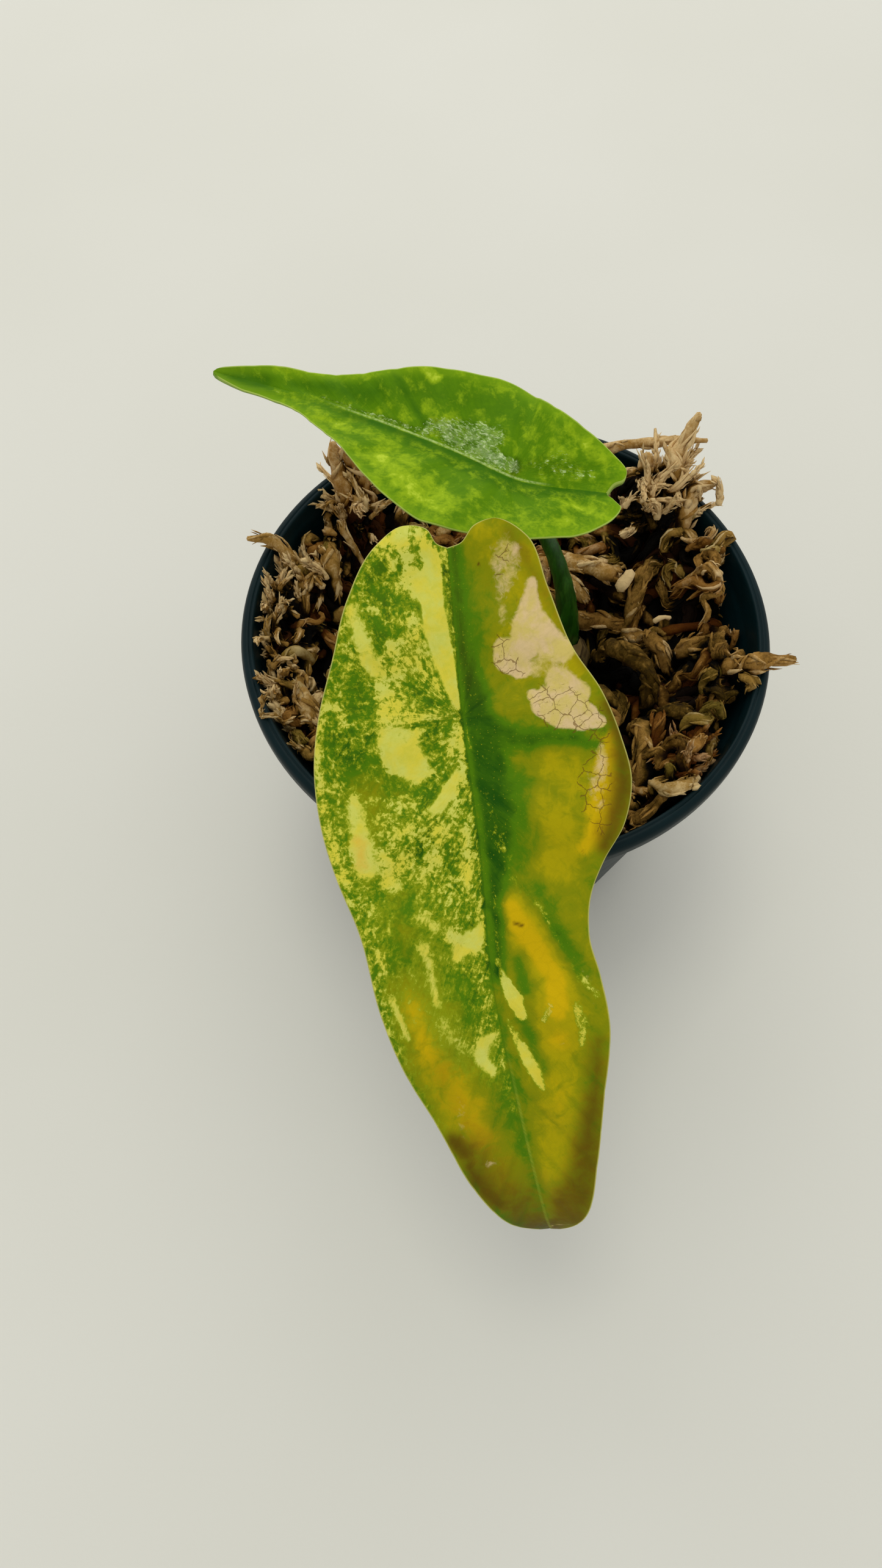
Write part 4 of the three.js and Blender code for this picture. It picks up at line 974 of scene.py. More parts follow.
def young_paint(p, q):
    """The fields of the young blade: name, level to start from, strokes."""
    return [("cream", 0.42, YOUNG_LIGHT), ("deep", 0.15, YOUNG_DEEP), ("crinkle", 0.0, YOUNG_CRINKLE)]


blade_piece("large_leaf", LARGE_BLADE, 240, 64, variegated_leaf(), "blade_large", large_paint)
blade_piece("young_leaf", YOUNG_BLADE, 170, 50, green_leaf(), "blade_young", young_paint)


# Stalks


def seat_points(blade):
    """Two points under the blade at the stalk: SEAT_RUN mm below its seat, and the seat."""
    point, _, normal = midrib_frame(blade, np.array([0.0]))
    depth = BLADE_THICKNESS + SEAT_DEPTH
    return [point[0] - normal[0] * (depth + SEAT_RUN), point[0] - normal[0] * depth]


def resampled(control, radii, rings):
    """Path and radii at equal steps along the smooth curve through control points."""
    along = lengths(control)
    x = np.linspace(0, along[-1], rings)
    path = spline(x, along, control)
    sizes = spline(x, along, np.asarray(radii, float)[:, None])[:, 0]
    return path, sizes


def stalk_material(name, base, dark, pale):
    """Smooth juicy stalk skin: satin with a soft long highlight, fine stripes along it and paler flecks.

    Stripes are 0.67 mm wide and 11 mm long. Real ones are a third of that, too fine to show. Flecks are 2.4 mm."""
    s = Surface(name)
    place = s.node("object_place")
    striped = s.node("scaled", place, (1 / (0.6667 * MM), 1 / (0.6667 * MM), 1 / (11.11 * MM)))
    stripes = s.node("noise", striped, 1.0, 4, 0.6)
    flecked = s.node("scaled", place, (1 / (2.381 * MM), 1 / (2.381 * MM), 1 / (6.25 * MM)))
    flecks = s.node("noise", flecked, 1.0, 5, 0.7, 0.4)
    colour = s.node("mix", s.node("step", stripes, 0.35, 0.65), base, dark)
    colour = s.node("mix", s.node("multiply", s.node("step", flecks, 0.5, 0.72), 0.6), colour, pale)
    normal = s.node("bump", stripes, 0.12 * MM, 0.7)
    roughness = s.node("multiply_add", flecks, 0.2, 0.3)
    return s.finish(Base_Color=colour, Roughness=roughness, Normal=normal, Specular_IOR_Level=0.45)


def stalk_piece(name, path, radii, blade, sheath, material, node):
    """A stalk as a tube along its curve, its radius times 1 + 0.025 sin(0.9 ring), with a sheath at its foot."""
    control = [np.array(point, float) for point in path] + seat_points(blade)
    centre, sizes = resampled(control, radii, STALK_RINGS)
    sizes = sizes * (1 + 0.025 * np.sin(np.arange(STALK_RINGS) * 0.9))
    parts = [tubes(centre[None], sizes[None], 28)]
    if sheath:
        centre, sizes = resampled([np.array(point, float) for point in sheath[0]], sheath[1], 30)
        parts.append(tubes(centre[None], sizes[None], 24))
    vertices, quads, triangles, uvs = joined(parts)
    make_piece(name, vertices, quads, triangles, material, [node], uvs=uvs)


stalk_piece(
    "large_stalk",
    [[9, 0.6, 63.5], [8.2, -1.4, 70], [2.5, -12, 84], [-4.4, -25, 96]],
    [2.4, 2.5, 1.9, 1.6, 1.7, 2],
    LARGE_BLADE,
    ([[9.3, 0, 67.5], [8.2, -2.2, 72], [5.8, -6.2, 77.5]], [2.8, 2.7, 1.2]),
    stalk_material("large_stalk_skin", "#4f6d1d", "#3a5712", "#7a8a38"),
    "petiole_large",
)
stalk_piece(
    "young_stalk",
    [[13.9, 5.6, 63.5], [13, 5.4, 71], [10.4, 6.6, 85], [5.2, 8.6, 97]],
    [2.1, 2.2, 1.7, 1.4, 1.4, 1.7],
    YOUNG_BLADE,
    None,
    stalk_material("young_stalk_skin", "#1f5208", "#123d03", "#3f6f1d"),
    "petiole_young",
)


# Pot


def wall_radius(z):
    """Outside of the tapered wall: a straight line from the base to the foot of the collar."""
    return BASE_RADIUS + (COLLAR_RADIUS - COLLAR_STEP - BASE_RADIUS) * z / COLLAR_BOTTOM


def inner_radius(z):
    """Inside of the wall: one wall thickness in, and 0.32 mm wider for each millimetre over the collar's foot."""
    return wall_radius(np.minimum(z, COLLAR_BOTTOM)) - WALL + np.maximum(z - COLLAR_BOTTOM, 0) * 0.32


def rounded(profile, radius, steps=4):
    """A profile with each inner corner rounded by up to radius.

    The curve is (1 - t)^2 a + 2 t (1 - t) corner + t^2 b, with a and b on the two sides at the radius or at 0.45 of
    a shorter side."""
    points = [np.array(p, float) for p in profile]
    t = np.linspace(0, 1, steps)[:, None]
    out = [points[:1]]
    for before, corner, after in zip(points[:-2], points[1:-1], points[2:]):
        to_before = before - corner
        to_after = after - corner
        reach = min(radius, 0.45 * np.linalg.norm(to_before), 0.45 * np.linalg.norm(to_after))
        a = corner + unit(to_before) * reach
        b = corner + unit(to_after) * reach
        out.append((1 - t) ** 2 * a + 2 * t * (1 - t) * corner + t * t * b)
    out.append(points[-1:])
    return np.concatenate(out)


def pot_piece():
    """The pot: its profile turned about the upright axis, and the drain holes cut through its floor."""
    top = POT_HEIGHT
    profile = [
        [0, 0], [22, 0], [22.8, CHANNEL_RISE], [31, CHANNEL_RISE], [31.8, 0], [34.4, 0], [BASE_RADIUS, 0.6],
        [wall_radius(30), 30], [wall_radius(66), 66], [wall_radius(COLLAR_BOTTOM), COLLAR_BOTTOM],
        [COLLAR_RADIUS, 69], [COLLAR_RADIUS + 0.4, 73], [COLLAR_RADIUS + 0.7, 76], [49.5, 76],
        [RIM_RADIUS, 76.6], [RIM_RADIUS, 78.7], [49.6, 79.6], [48.9, top], [48.5, top - 0.02],
        [48.3, top - 0.22], [48.1, top - 0.05], [47.7, top - 0.1], [47.5, 79.5],
        [inner_radius(76), 75], [inner_radius(COLLAR_BOTTOM), COLLAR_BOTTOM], [inner_radius(40), 40],
        [inner_radius(FLOOR_TOP), FLOOR_TOP], [0, FLOOR_TOP],
    ]
    outline = rounded(profile, 0.35)
    body = outline[1:-1]
    angle = 2 * np.pi * np.arange(POT_SEGMENTS) / POT_SEGMENTS
    rings = np.stack([
        body[:, :1] * np.cos(angle), body[:, :1] * np.sin(angle), np.repeat(body[:, 1:], POT_SEGMENTS, axis=1),
    ], axis=-1).reshape(-1, 3)
    vertices = np.concatenate([rings, [[0, 0, outline[0, 1]], [0, 0, outline[-1, 1]]]])
    quads, triangles = closed_faces(len(body), POT_SEGMENTS)
    pot = make_piece("nursery_pot", vertices, quads, triangles, pot_plastic(), ["pot"])
    cutter = drain_cutter()
    cut = pot.modifiers.new("drain_holes", "BOOLEAN")
    cut.operation = "DIFFERENCE"
    cut.object = cutter
    cut.solver = "EXACT"
    graph = bpy.context.evaluated_depsgraph_get()
    made = bpy.data.meshes.new_from_object(pot.evaluated_get(graph), depsgraph=graph)
    pot.modifiers.clear()
    pot.data = made
    pot.data.shade_smooth()
    pot.data.set_sharp_from_angle(angle=math.radians(50))
    bpy.data.objects.remove(cutter)


def drain_cutter():
    """Upright round bars where the drain holes go."""
    turn = 2 * np.pi * (np.arange(DRAIN_HOLES) + 0.5) / DRAIN_HOLES
    heights = np.linspace(-3, 6, 4)
    centres = np.stack([
        np.repeat(DRAIN_CIRCLE_RADIUS * np.cos(turn)[:, None], len(heights), axis=1),
        np.repeat(DRAIN_CIRCLE_RADIUS * np.sin(turn)[:, None], len(heights), axis=1),
        np.repeat(heights[None], DRAIN_HOLES, axis=0),
    ], axis=-1)
    radii = np.full((DRAIN_HOLES, len(heights)), DRAIN_HOLE_RADIUS)
    vertices, quads, triangles, _ = tubes(centres, radii, 40)
    mesh = bpy.data.meshes.new("drain_cutter")
    mesh.from_pydata((vertices * MM).tolist(), [], quads.tolist() + triangles.tolist())
    cutter = bpy.data.objects.new("drain_cutter", mesh)
    bpy.context.scene.collection.objects.link(cutter)
    cutter.hide_render = True
    return cutter


def pot_plastic():
    """Moulded polypropylene, blue-black: a dull satin with a soft highlight on the rolled lip.

    Its mould leaves a grain, drawn at 0.53 mm where the real 0.05 mm would not show, and faint turned bands 1.1 mm
    high. Scuffs run round it, 17 mm long and 2.4 mm high, and dust lies in patches of 11 mm."""
    s = Surface("moulded_polypropylene")
    place = s.node("object_place")
    _, _, height = s.node("parts", place)
    grain = s.node("noise", place, 1 / (0.5263 * MM), 3, 0.6)
    scuffed = s.node("scaled", place, (1 / (16.67 * MM), 1 / (16.67 * MM), 1 / (2.381 * MM)))
    scuffs = s.node("noise", scuffed, 1.0, 5, 0.7, 0.6)
    bands = s.node("noise", s.node("upright", s.node("multiply", height, 1 / (1.111 * MM))), 1.0, 2, 0.5)
    dust = s.node("noise", place, 1 / (11.11 * MM), 4, 0.6)
    colour = s.node("mix", s.node("step", scuffs, 0.36, 0.8), "#03181c", "#071f24")
    colour = s.node("mix", s.node("multiply", s.node("step", dust, 0.55, 0.8), 0.2), colour, "#141f20")
    relief = s.node("multiply_add", bands, 0.6, s.node("multiply", grain, 0.5))
    normal = s.node("bump", relief, 0.05 * MM, 0.6)
    roughness = s.node("multiply_add", scuffs, 0.22, 0.3)
    return s.finish(Base_Color=colour, Roughness=roughness, Normal=normal, Specular_IOR_Level=0.1)


pot_piece()


# Moss


def moss_height(x, y, edge=0.0):
    """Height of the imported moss, as in the CAD model, plus edge times a smooth step of the radius from 33 to 43 mm.

    Height = top + two sine swells + a slight tilt - 4 ((r - 36) / 8)^2 towards the wall - 7 exp(-d^2 / 60) in the
    hollow by the stalks."""
    r = np.hypot(x, y)
    broad = 1.5 * np.sin(x * 0.21 + 1.3) * np.cos(y * 0.19 - 0.6)
    bumps = broad + 0.9 * np.sin(x * 0.47 - y * 0.38)
    ring = -4 * clamp01((r - 36) / 8) ** 2
    hollow = -7 * np.exp(-((x - HOLLOW[0]) ** 2 + (y - HOLLOW[1]) ** 2) / 60)
    return MOSS_TOP + bumps + ring + hollow + 0.05 * x + edge * smoothstep(33, 43, r)


def clear_of_neighbours(path, radii, margin=0.9):
    """Path points moved inside the wall, where they are below the rim, and away from the leaning stalks."""
    x, y, z = path[..., 0], path[..., 1], path[..., 2]
    limit = inner_radius(z) - radii - margin
    inward = np.where(z < POT_HEIGHT, np.minimum(1, limit / np.maximum(np.hypot(x, y), 1e-6)), 1.0)
    dx = x * inward - (CROWN[0] - (z - MOSS_TOP) * 0.25)
    dy = y * inward - (CROWN[1] - (z - MOSS_TOP) * 0.3)
    push = np.maximum(1, (CROWN_RADIUS + radii + margin) / np.maximum(np.hypot(dx, dy), 1e-6))
    return np.stack([x * inward + dx * (push - 1), y * inward + dy * (push - 1), z], axis=-1)


def wavering(count, rings, size, waves):
    """Smooth small offsets (count, rings, 3) along paths: sums of a few sines with drawn phases."""
    t = np.linspace(0, 1, rings)[None, :, None, None]
    phase = random.uniform(0, 2 * np.pi, (count, 1, 3, 3))
    speed = np.arange(1, 4)[None, None, None] * waves
    return size * np.sum(np.sin(2 * np.pi * speed * t + phase) / np.arange(1, 4), axis=-1)


# The strands that stand out in the picture, as in the CAD model: points, radii at them, tone (0 dark to 1 pale)
# and warmth (0 olive to 1 orange)
STANDING_STRANDS = [
    ([[29, 28, 61], [31, 31.5, 77], [34.5, 34.5, 88], [37.5, 38, 94]], [2.6, 2.4, 2, 0.8], 0.9, 0.5),
    ([[26, 28, 61], [28.4, 31, 78], [28.6, 32, 85], [27.8, 32.3, 89]], [2.4, 2.6, 1.9, 1], 0.85, 0.5),
    ([[32, 24, 61], [34, 27, 78], [34.4, 30.4, 85], [31.8, 33, 90]], [2.5, 2.6, 2, 0.9], 0.9, 0.5),
    ([[34, 20, 61], [36, 24, 78], [38.1, 28, 84.6], [41.5, 27.6, 86.4]], [2.4, 2.3, 1.7, 0.8], 0.85, 0.6),
    ([[15, 33, 61], [20, 38.4, 83], [31, 38.4, 86], [40.5, 37.7, 87]], [1.3, 1.3, 1.2, 0.7], 0.8, 0.6),
    ([[36, -3, 62], [42, -8.4, 77], [47.4, -10.3, 82.6], [52.5, -10.3, 83]], [2.2, 2.2, 1.8, 0.6], 0.8, 0.6),
    ([[35, 1, 62], [38, -2, 75], [41, -2, 75], [40.5, 0, 62]], [2, 2.2, 1.8, 1], 0.75, 0.5),
    ([[33, 24, 62], [37, 22, 77], [39.6, 18.5, 76], [38.5, 15, 62]], [1.9, 2, 1.8, 1.3], 0.6, 0.4),
    ([[36, -17, 62], [39, -15.6, 75], [41, -12, 75], [39, -8, 62]], [1.9, 2, 1.6, 1.2], 0.5, 0.6),
    ([[-28, 27, 60], [-31, 30.5, 78], [-33, 34.5, 84.5], [-33.4, 36.3, 88]], [2.2, 2.3, 1.8, 0.8], 0.7, 0.7),
    ([[-25, 29, 60], [-27.5, 33, 77], [-30, 35, 84], [-32, 35, 87]], [2, 2, 1.6, 0.8], 0.6, 0.7),
    ([[-37, 13, 60], [-41, 15, 77], [-45.5, 17, 82.6], [-49.5, 16.8, 83]], [1.8, 1.7, 1.3, 0.6], 0.6, 0.4),
    ([[-37, 2, 60], [-40.6, 9.3, 75], [-38.4, 13, 76], [-33, 18, 60]], [2, 2.3, 2.1, 1.4], 0.75, 0.5),
    ([[-32, 24, 60], [-34.6, 22, 74], [-34, 16.6, 75], [-33, 11, 60]], [1.9, 2.1, 1.9, 1.4], 0.6, 0.4),
    ([[-37, -4, 60], [-39.4, -11, 74], [-37, -16, 74], [-32, -18, 60]], [2, 2.3, 2.1, 1.4], 0.6, 0.4),
    ([[12, 26, 63], [15, 17.6, 74], [19.7, 15.2, 75], [25, 22, 62]], [1.9, 2.2, 2.1, 1.5], 0.7, 0.5),
    ([[15, 24, 63], [13.2, 15, 72.5], [15, 12.6, 72], [18, 18, 62]], [1.7, 1.9, 1.8, 1.4], 0.65, 0.5),
    ([[20, 2, 58], [22, -1.7, 73], [26.5, -6.8, 75], [28, -14, 61]], [2, 2.4, 2.3, 1.7], 0.4, 0.4),
    ([[25.4, -16, 61], [25.4, -20, 73], [25, -28, 74], [24, -34, 61]], [1.8, 2.2, 2.1, 1.4], 0.55, 0.4),
]


def leaflets(paths, radii, tone, warmth, count, size, ragged):
    """Small pointed leaves that lie along strands like shingles: base on the strand, leaning forwards.

    Their share on each strand goes by its length; towards the ends, and on ragged strands, they stand out more.
    Base = centre + 0.8 r out; the tip bends back from the heading by a drawn curl. out is the drawn direction
    across the strand and r the strand's radius."""
    n, m, _ = paths.shape
    weight = np.sum(np.linalg.norm(np.diff(paths, axis=1), axis=2), axis=1) * (0.4 + radii.mean(axis=1))
    strand = random.choice(n, count, p=weight / weight.sum())
    t = random.uniform(0.02, 0.98, count) * (m - 1)
    k = np.minimum(t.astype(int), m - 2)
    part = (t - k)[:, None]
    centre = paths[strand, k] * (1 - part) + paths[strand, k + 1] * part
    radius = radii[strand, k] * (1 - part[:, 0]) + radii[strand, k + 1] * part[:, 0]
    forward = unit(paths[strand, k + 1] - paths[strand, k])
    turn = random.uniform(0, 2 * np.pi, count)
    helper = np.where(np.abs(forward[:, 2:3]) > 0.8, [[1.0, 0, 0]], [[0, 0, 1.0]])
    a = unit(np.cross(forward, helper))
    b = np.cross(forward, a)
    out = a * np.cos(turn)[:, None] + b * np.sin(turn)[:, None]
    far_end = smoothstep(0.72, 1.0, t / (m - 1))
    length = size * random.uniform(0.55, 1.3, count) * np.clip(radius / 1.5, 0.55, 1.2) * (1 + 0.35 * far_end)
    openness = ragged[strand] * random.uniform(0.0, 1.0, count) ** 2 + 0.35 * far_end
    flare = (0.02 + 0.75 * openness)[:, None]
    base = centre + out * (radius * 0.8)[:, None]
    heading = unit(forward + out * flare + random.normal(0, 0.1, base.shape))
    middle = base + heading * (length * 0.5)[:, None] + out * (radius * 0.1)[:, None]
    curl = random.uniform(-0.35, 0.5, count)[:, None] * (0.4 + openness[:, None])
    tip = middle + unit(heading - out * (curl + 0.12)) * (length * 0.5)[:, None]
    centres = np.stack([base, middle, tip], axis=1)
    width = length * random.uniform(0.18, 0.34, count)
    rings = np.stack([width * 0.75, width, width * 0.1], axis=1)
    built = tubes(centres, rings, MOSS_LEAF_SIDES, 0.3, unit(np.cross(heading, out)))
    corners = 3 * MOSS_LEAF_SIDES + 2
    ends = np.concatenate([np.repeat([0.0, 0.5, 1.0], MOSS_LEAF_SIDES), [0.0, 1.0]])
    fields = [
        np.repeat(np.clip(tone[strand] + random.normal(0, 0.09, count), 0, 1), corners),
        np.repeat(warmth[strand], corners),
        np.tile(ends, count),
    ]
    return built, fields


def branchlets(paths, radii, tone, warmth, count, ragged):
    """Thin tapered branches that hang along strands and make their bulk.

    A branch starts inside its strand, runs on along it while its angle turns by a drawn twist, and its distance
    from the strand's middle is R (0.3 + 0.62 sin(pi s / 1.6)) + lift s^3, with s from 0 at its foot to 1 at its
    tip. Its own radius is r (0.6 + 0.4 sin(pi s)) (1 - 0.7 s^4)."""
    n, m, _ = paths.shape
    strand_lengths = np.sum(np.linalg.norm(np.diff(paths, axis=1), axis=2), axis=1)
    weight = strand_lengths * (0.5 + radii.mean(axis=1))
    strand = random.choice(n, count, p=weight / weight.sum())
    s = np.linspace(0, 1, BRANCH_RINGS)[None]
    foot = random.uniform(-0.05, 0.85, (count, 1))
    reach = np.minimum(random.uniform(2.8, 6.5, (count, 1)) / strand_lengths[strand][:, None], 1.06 - foot)
    t = (foot + s * reach) * (m - 1)
    k = np.clip(t.astype(int), 0, m - 2)
    part = (t - k)[..., None]
    row = strand[:, None]
    centre = paths[row, k] * (1 - part) + paths[row, k + 1] * part
    _, across, other = path_frames(paths)
    size = radii[row, k]
    angle = random.uniform(0, 2 * np.pi, (count, 1)) + random.normal(0, 1.5, (count, 1)) * s
    lift = (0.1 + ragged[strand] * random.uniform(0, 1, count) ** 2 * 1.6)[:, None]
    away = size * (0.3 + 0.62 * np.sin(np.pi * s / 1.6)) + lift * s**3
    out = np.cos(angle)[..., None] * across[row, k] + np.sin(angle)[..., None] * other[row, k]
    centres = centre + away[..., None] * out
    own = random.uniform(0.32, 0.62, (count, 1)) * np.clip(size / 1.6, 0.6, 1.2)
    rings = own * (0.6 + 0.4 * np.sin(np.pi * s)) * (1 - 0.7 * s**4)
    built = tubes(centres, rings, BRANCH_SIDES, 0.75)
    corners = BRANCH_RINGS * BRANCH_SIDES + 2
    ends = np.concatenate([np.repeat(s[0], BRANCH_SIDES), [0.0, 1.0]])
    fields = [
        np.repeat(np.clip(tone[strand] + random.normal(0, 0.16, count), 0, 1.1), corners),
        np.repeat(warmth[strand], corners),
        np.tile(ends, count),
    ]
    return built, fields


def rope_radii(radii, sides):
    """Radii (n, m, sides) of knotted ropes.

    Radius = r (1 + 0.16 sin(w s + a) + 0.12 sin(2 c + 1.9 s + b) + 0.08 sin(3 c - 3.1 s + d)), where s is the ring
    number over 2, c the angle round the rope, and a, b, d and w are drawn for each rope."""
    n, m = radii.shape
    s = np.arange(m)[None, :, None] / 2
    c = (2 * np.pi * np.arange(sides) / sides)[None, None]
    a, b, d = random.uniform(0, 2 * np.pi, (3, n, 1, 1))
    w = random.uniform(0.9, 1.7, (n, 1, 1))
    knots = 0.16 * np.sin(w * s + a) + 0.12 * np.sin(2 * c + 1.9 * s + b) + 0.08 * np.sin(3 * c - 3.1 * s + d)
    return radii[:, :, None] * (1 + knots)


# Grid over the pot that holds the height of the moss: cell size in millimetres and cells along a side
CELL = 0.8
CELLS = 144


def cell_numbers(x, y):
    """Row and column of the grid cell at each point."""
    return (np.clip((side / CELL + CELLS / 2).astype(int), 0, CELLS - 1) for side in (x, y))


def top_map(strands):
    """Height of the highest strand over each cell of the grid, evened over 5 by 5 cells."""
    grid = np.full((CELLS, CELLS), 60.0)
    for paths, radii in strands:
        fine = np.concatenate([paths[:, :-1], (paths[:, :-1] + paths[:, 1:]) / 2, paths[:, -1:]], axis=1)
        size = np.concatenate([radii[:, :-1], radii[:, 1:], radii[:, -1:]], axis=1)
        for angle in np.arange(0, 2 * np.pi, np.pi / 3):
            for share in (0.0, 0.7):
                x = fine[..., 0] + size * share * np.cos(angle)
                y = fine[..., 1] + size * share * np.sin(angle)
                i, k = cell_numbers(x, y)
                np.maximum.at(grid, (i.ravel(), k.ravel()), (fine[..., 2] + size * (1 - share)).ravel())
    rows = sum(np.roll(grid, shift, axis=0) for shift in range(-2, 3)) / 5
    return sum(np.roll(rows, shift, axis=1) for shift in range(-2, 3)) / 5


def buried(vertices, tops):
    """How far each point lies under the evened top of the moss, in millimetres."""
    i, k = cell_numbers(vertices[:, 0], vertices[:, 1])
    return tops[i, k] - vertices[:, 2]


def strand_set(name, strands, tone, warmth, ragged, branches, leaves, tops, sides=8, leaf_size=1.9):
    """Strands as ropes under their branches and small leaves, one piece."""
    paths, radii = strands
    ropes = tubes(paths, rope_radii(radii * 0.78, sides), sides)
    corners = paths.shape[1] * sides + 2
    rope_fields = [np.repeat(tone * 0.88, corners), np.repeat(warmth, corners), np.zeros(corners * len(paths))]
    branch_parts, branch_fields = branchlets(paths, radii, tone, warmth, branches, ragged)
    leaf_parts, leaf_fields = leaflets(paths, radii, tone, warmth, leaves, leaf_size, ragged)
    vertices, quads, triangles, uvs = joined([ropes, branch_parts, leaf_parts])
    parts = zip(rope_fields, branch_fields, leaf_fields)
    fields = [(key, "FLOAT", np.concatenate(values)) for key, values in zip(("tone", "warmth", "tip"), parts)]
    fields.append(("buried_mm", "FLOAT", buried(vertices, tops)))
    make_piece(name, vertices, quads, triangles, moss, [], fields, uvs)


def even_fields(count, tone, tip, buried_mm):
    """The moss material's fields for a piece of one tone."""
    levels = {"tone": tone, "warmth": 0.5, "tip": tip, "buried_mm": buried_mm}
    return [(key, "FLOAT", np.full(count, level)) for key, level in levels.items()]


def moss_material():
    """Dried long-fibre sphagnum: matt and papery, tan to straw, paler at the tips, with painted shade near black in
    the gaps.

    A few strands are olive or rusty. Tone varies in patches of 3.8 mm and along fibres 0.77 mm wide. Real leaf
    cells are 0.1 mm and would not show."""
    s = Surface("dried_sphagnum")
    place = s.node("object_place")
    tone, warmth, tip, buried_mm = (
        s.node("field", attribute_name=name) for name in ("tone", "warmth", "tip", "buried_mm")
    )
    patches = s.node("noise", place, 1 / (3.846 * MM), 5, 0.65)
    fibrous = s.node("scaled", place, (1 / (0.7692 * MM), 1 / (0.7692 * MM), 1 / (1.429 * MM)))
    fibre = s.node("noise", fibrous, 1.0, 4, 0.7, 0.8)
    tone = s.node("multiply_add", s.node("subtract", patches, 0.5), 1.3, tone)
    tone = s.node("multiply_add", s.node("subtract", fibre, 0.5), 0.7, tone)
    tone = s.node("multiply_add", tip, 0.12, tone)
    # painted shade: tone drops with depth, from 0.8 mm over the evened top of the moss to 3 mm under it
    shade = s.node("step", buried_mm, -0.8, 3.0)
    tone = s.node("subtract", tone, s.node("subtract", s.node("multiply", shade, 1.2), 0.16))
    colour = s.node("mix", s.node("step", tone, -0.25, 0.35), "#060300", "#4d3607")
    colour = s.node("mix", s.node("step", tone, 0.15, 0.7), colour, "#a2793a")
    colour = s.node("mix", s.node("step", tone, 0.6, 1.1), colour, "#dfc08c")
    warm = s.node("step", warmth, 0.5, 1.0)
    colour = s.node("mix", s.node("multiply", warm, 0.65), colour, "#7c400a")
    cool = s.node("multiply", s.node("step", warmth, 0.5, 0.0), 0.5)
    colour = s.node("mix", s.node("multiply", cool, s.node("step", tone, -0.1, 0.5)), colour, "#6b671c")
    normal = s.node("bump", fibre, 0.35 * MM, 0.8)
    return s.finish(Base_Color=colour, Roughness=0.85, Normal=normal, Specular_IOR_Level=0.12)


def main_strands():
    """The 46 strands of the CAD model and its standing strands, as paths (n, 40, 3) with radii, tone and warmth.

    A strand of the 46 lies on a sunflower spiral, r = 42 sqrt((i + 0.5) / 46) at i times the golden angle. It runs
    along its drawn heading, bows sideways and upwards by sin(pi t), and its radius is R (0.62 + 0.38 sin(pi t))."""
    rings = 40
    i = np.arange(STRANDS)
    r = STRAND_SPREAD * np.sqrt((i + 0.5) / STRANDS)
    turn = i * GOLDEN_ANGLE
    heading = (2 * np.pi * draw(i, 1))[:, None]
    length = 15 + 13 * draw(i, 2)
    radius = 1.5 + 0.8 * draw(i, 3)
    curl = 6 * (draw(i, 4) - 0.5)
    lift = 1.2 + 4.2 * draw(i, 5) ** 1.5
    t = np.linspace(0, 1, rings)[None]
    bow = np.sin(np.pi * t)
    s = (t - 0.5) * length[:, None]
    aside = curl[:, None] * bow
    sizes = radius[:, None] * (0.62 + 0.38 * bow)
    x = (r * np.cos(turn))[:, None] + s * np.cos(heading) - aside * np.sin(heading)
    y = (r * np.sin(turn))[:, None] + s * np.sin(heading) + aside * np.cos(heading)
    z = moss_height(x, y) - 2.2 + (2.2 + lift[:, None]) * bow
    paths = np.stack([x, y, z], axis=-1) + wavering(STRANDS, rings, 0.6, 1.0)
    paths = clear_of_neighbours(paths, sizes)
    tone = 0.3 + 0.45 * draw(i, 6)
    warmth = 0.3 + 0.4 * draw(i, 7)
    standing = [resampled(np.array(points, float), sizes_at, rings) for points, sizes_at, _, _ in STANDING_STRANDS]
    paths = np.concatenate([paths, np.stack([path for path, _ in standing])])
    sizes = np.concatenate([sizes, np.stack([size for _, size in standing])])
    tone = np.concatenate([tone, [row[2] for row in STANDING_STRANDS]])
    warmth = np.concatenate([warmth, [row[3] for row in STANDING_STRANDS]])
    return paths, np.maximum(sizes, 0.35), tone, warmth


def filling_strands(count, rings, place, level, length, radius):
    """Curled strands between the main ones. Radial place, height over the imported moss, length and radius are drawn.

    The heading turns by a drawn bend and a sine wobble along the strand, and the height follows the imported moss
    plus a bow and a wave that carry the strand over and under its neighbours, less 4 mm in the hollow by the
    stalks."""
    inner, outer = place
    r = np.sqrt(random.uniform(inner**2, outer**2, count))
    turn = random.uniform(0, 2 * np.pi, count)
    t = np.linspace(-0.5, 0.5, rings)[None]
    bend, wobble, phase = random.normal(0, 1, (3, count, 1))
    angle = random.uniform(0, 2 * np.pi, (count, 1)) + 2.6 * bend * t + 0.9 * wobble * np.sin(7 * t + 3 * phase)
    reach = random.uniform(*length, (count, 1))
    line = np.cumsum(np.stack([np.cos(angle), np.sin(angle)], axis=-1) * (reach / rings)[..., None], axis=1)
    line = line - line[:, rings // 2 : rings // 2 + 1]
    x = (r * np.cos(turn))[:, None] + line[..., 0]
    y = (r * np.sin(turn))[:, None] + line[..., 1]
    bow = np.cos(np.pi * t)
    rise, lift = random.uniform(0.5, 3.5, (2, count, 1))
    z = moss_height(x, y, EDGE_RISE) + random.uniform(*level, (count, 1))
    z = z + (bow - 0.6) * rise + 0.35 * lift * np.sin(9 * t + 5 * phase)
    z = z - 4 * np.exp(-((x - 21) ** 2 + (y - 3) ** 2) / 80)
    sizes = random.uniform(*radius, (count, 1)) * (0.5 + 0.5 * bow**0.6)
    paths = np.stack([x, y, z], axis=-1) + wavering(count, rings, 0.3, 1.0)
    return clear_of_neighbours(paths, sizes, 0.35), sizes


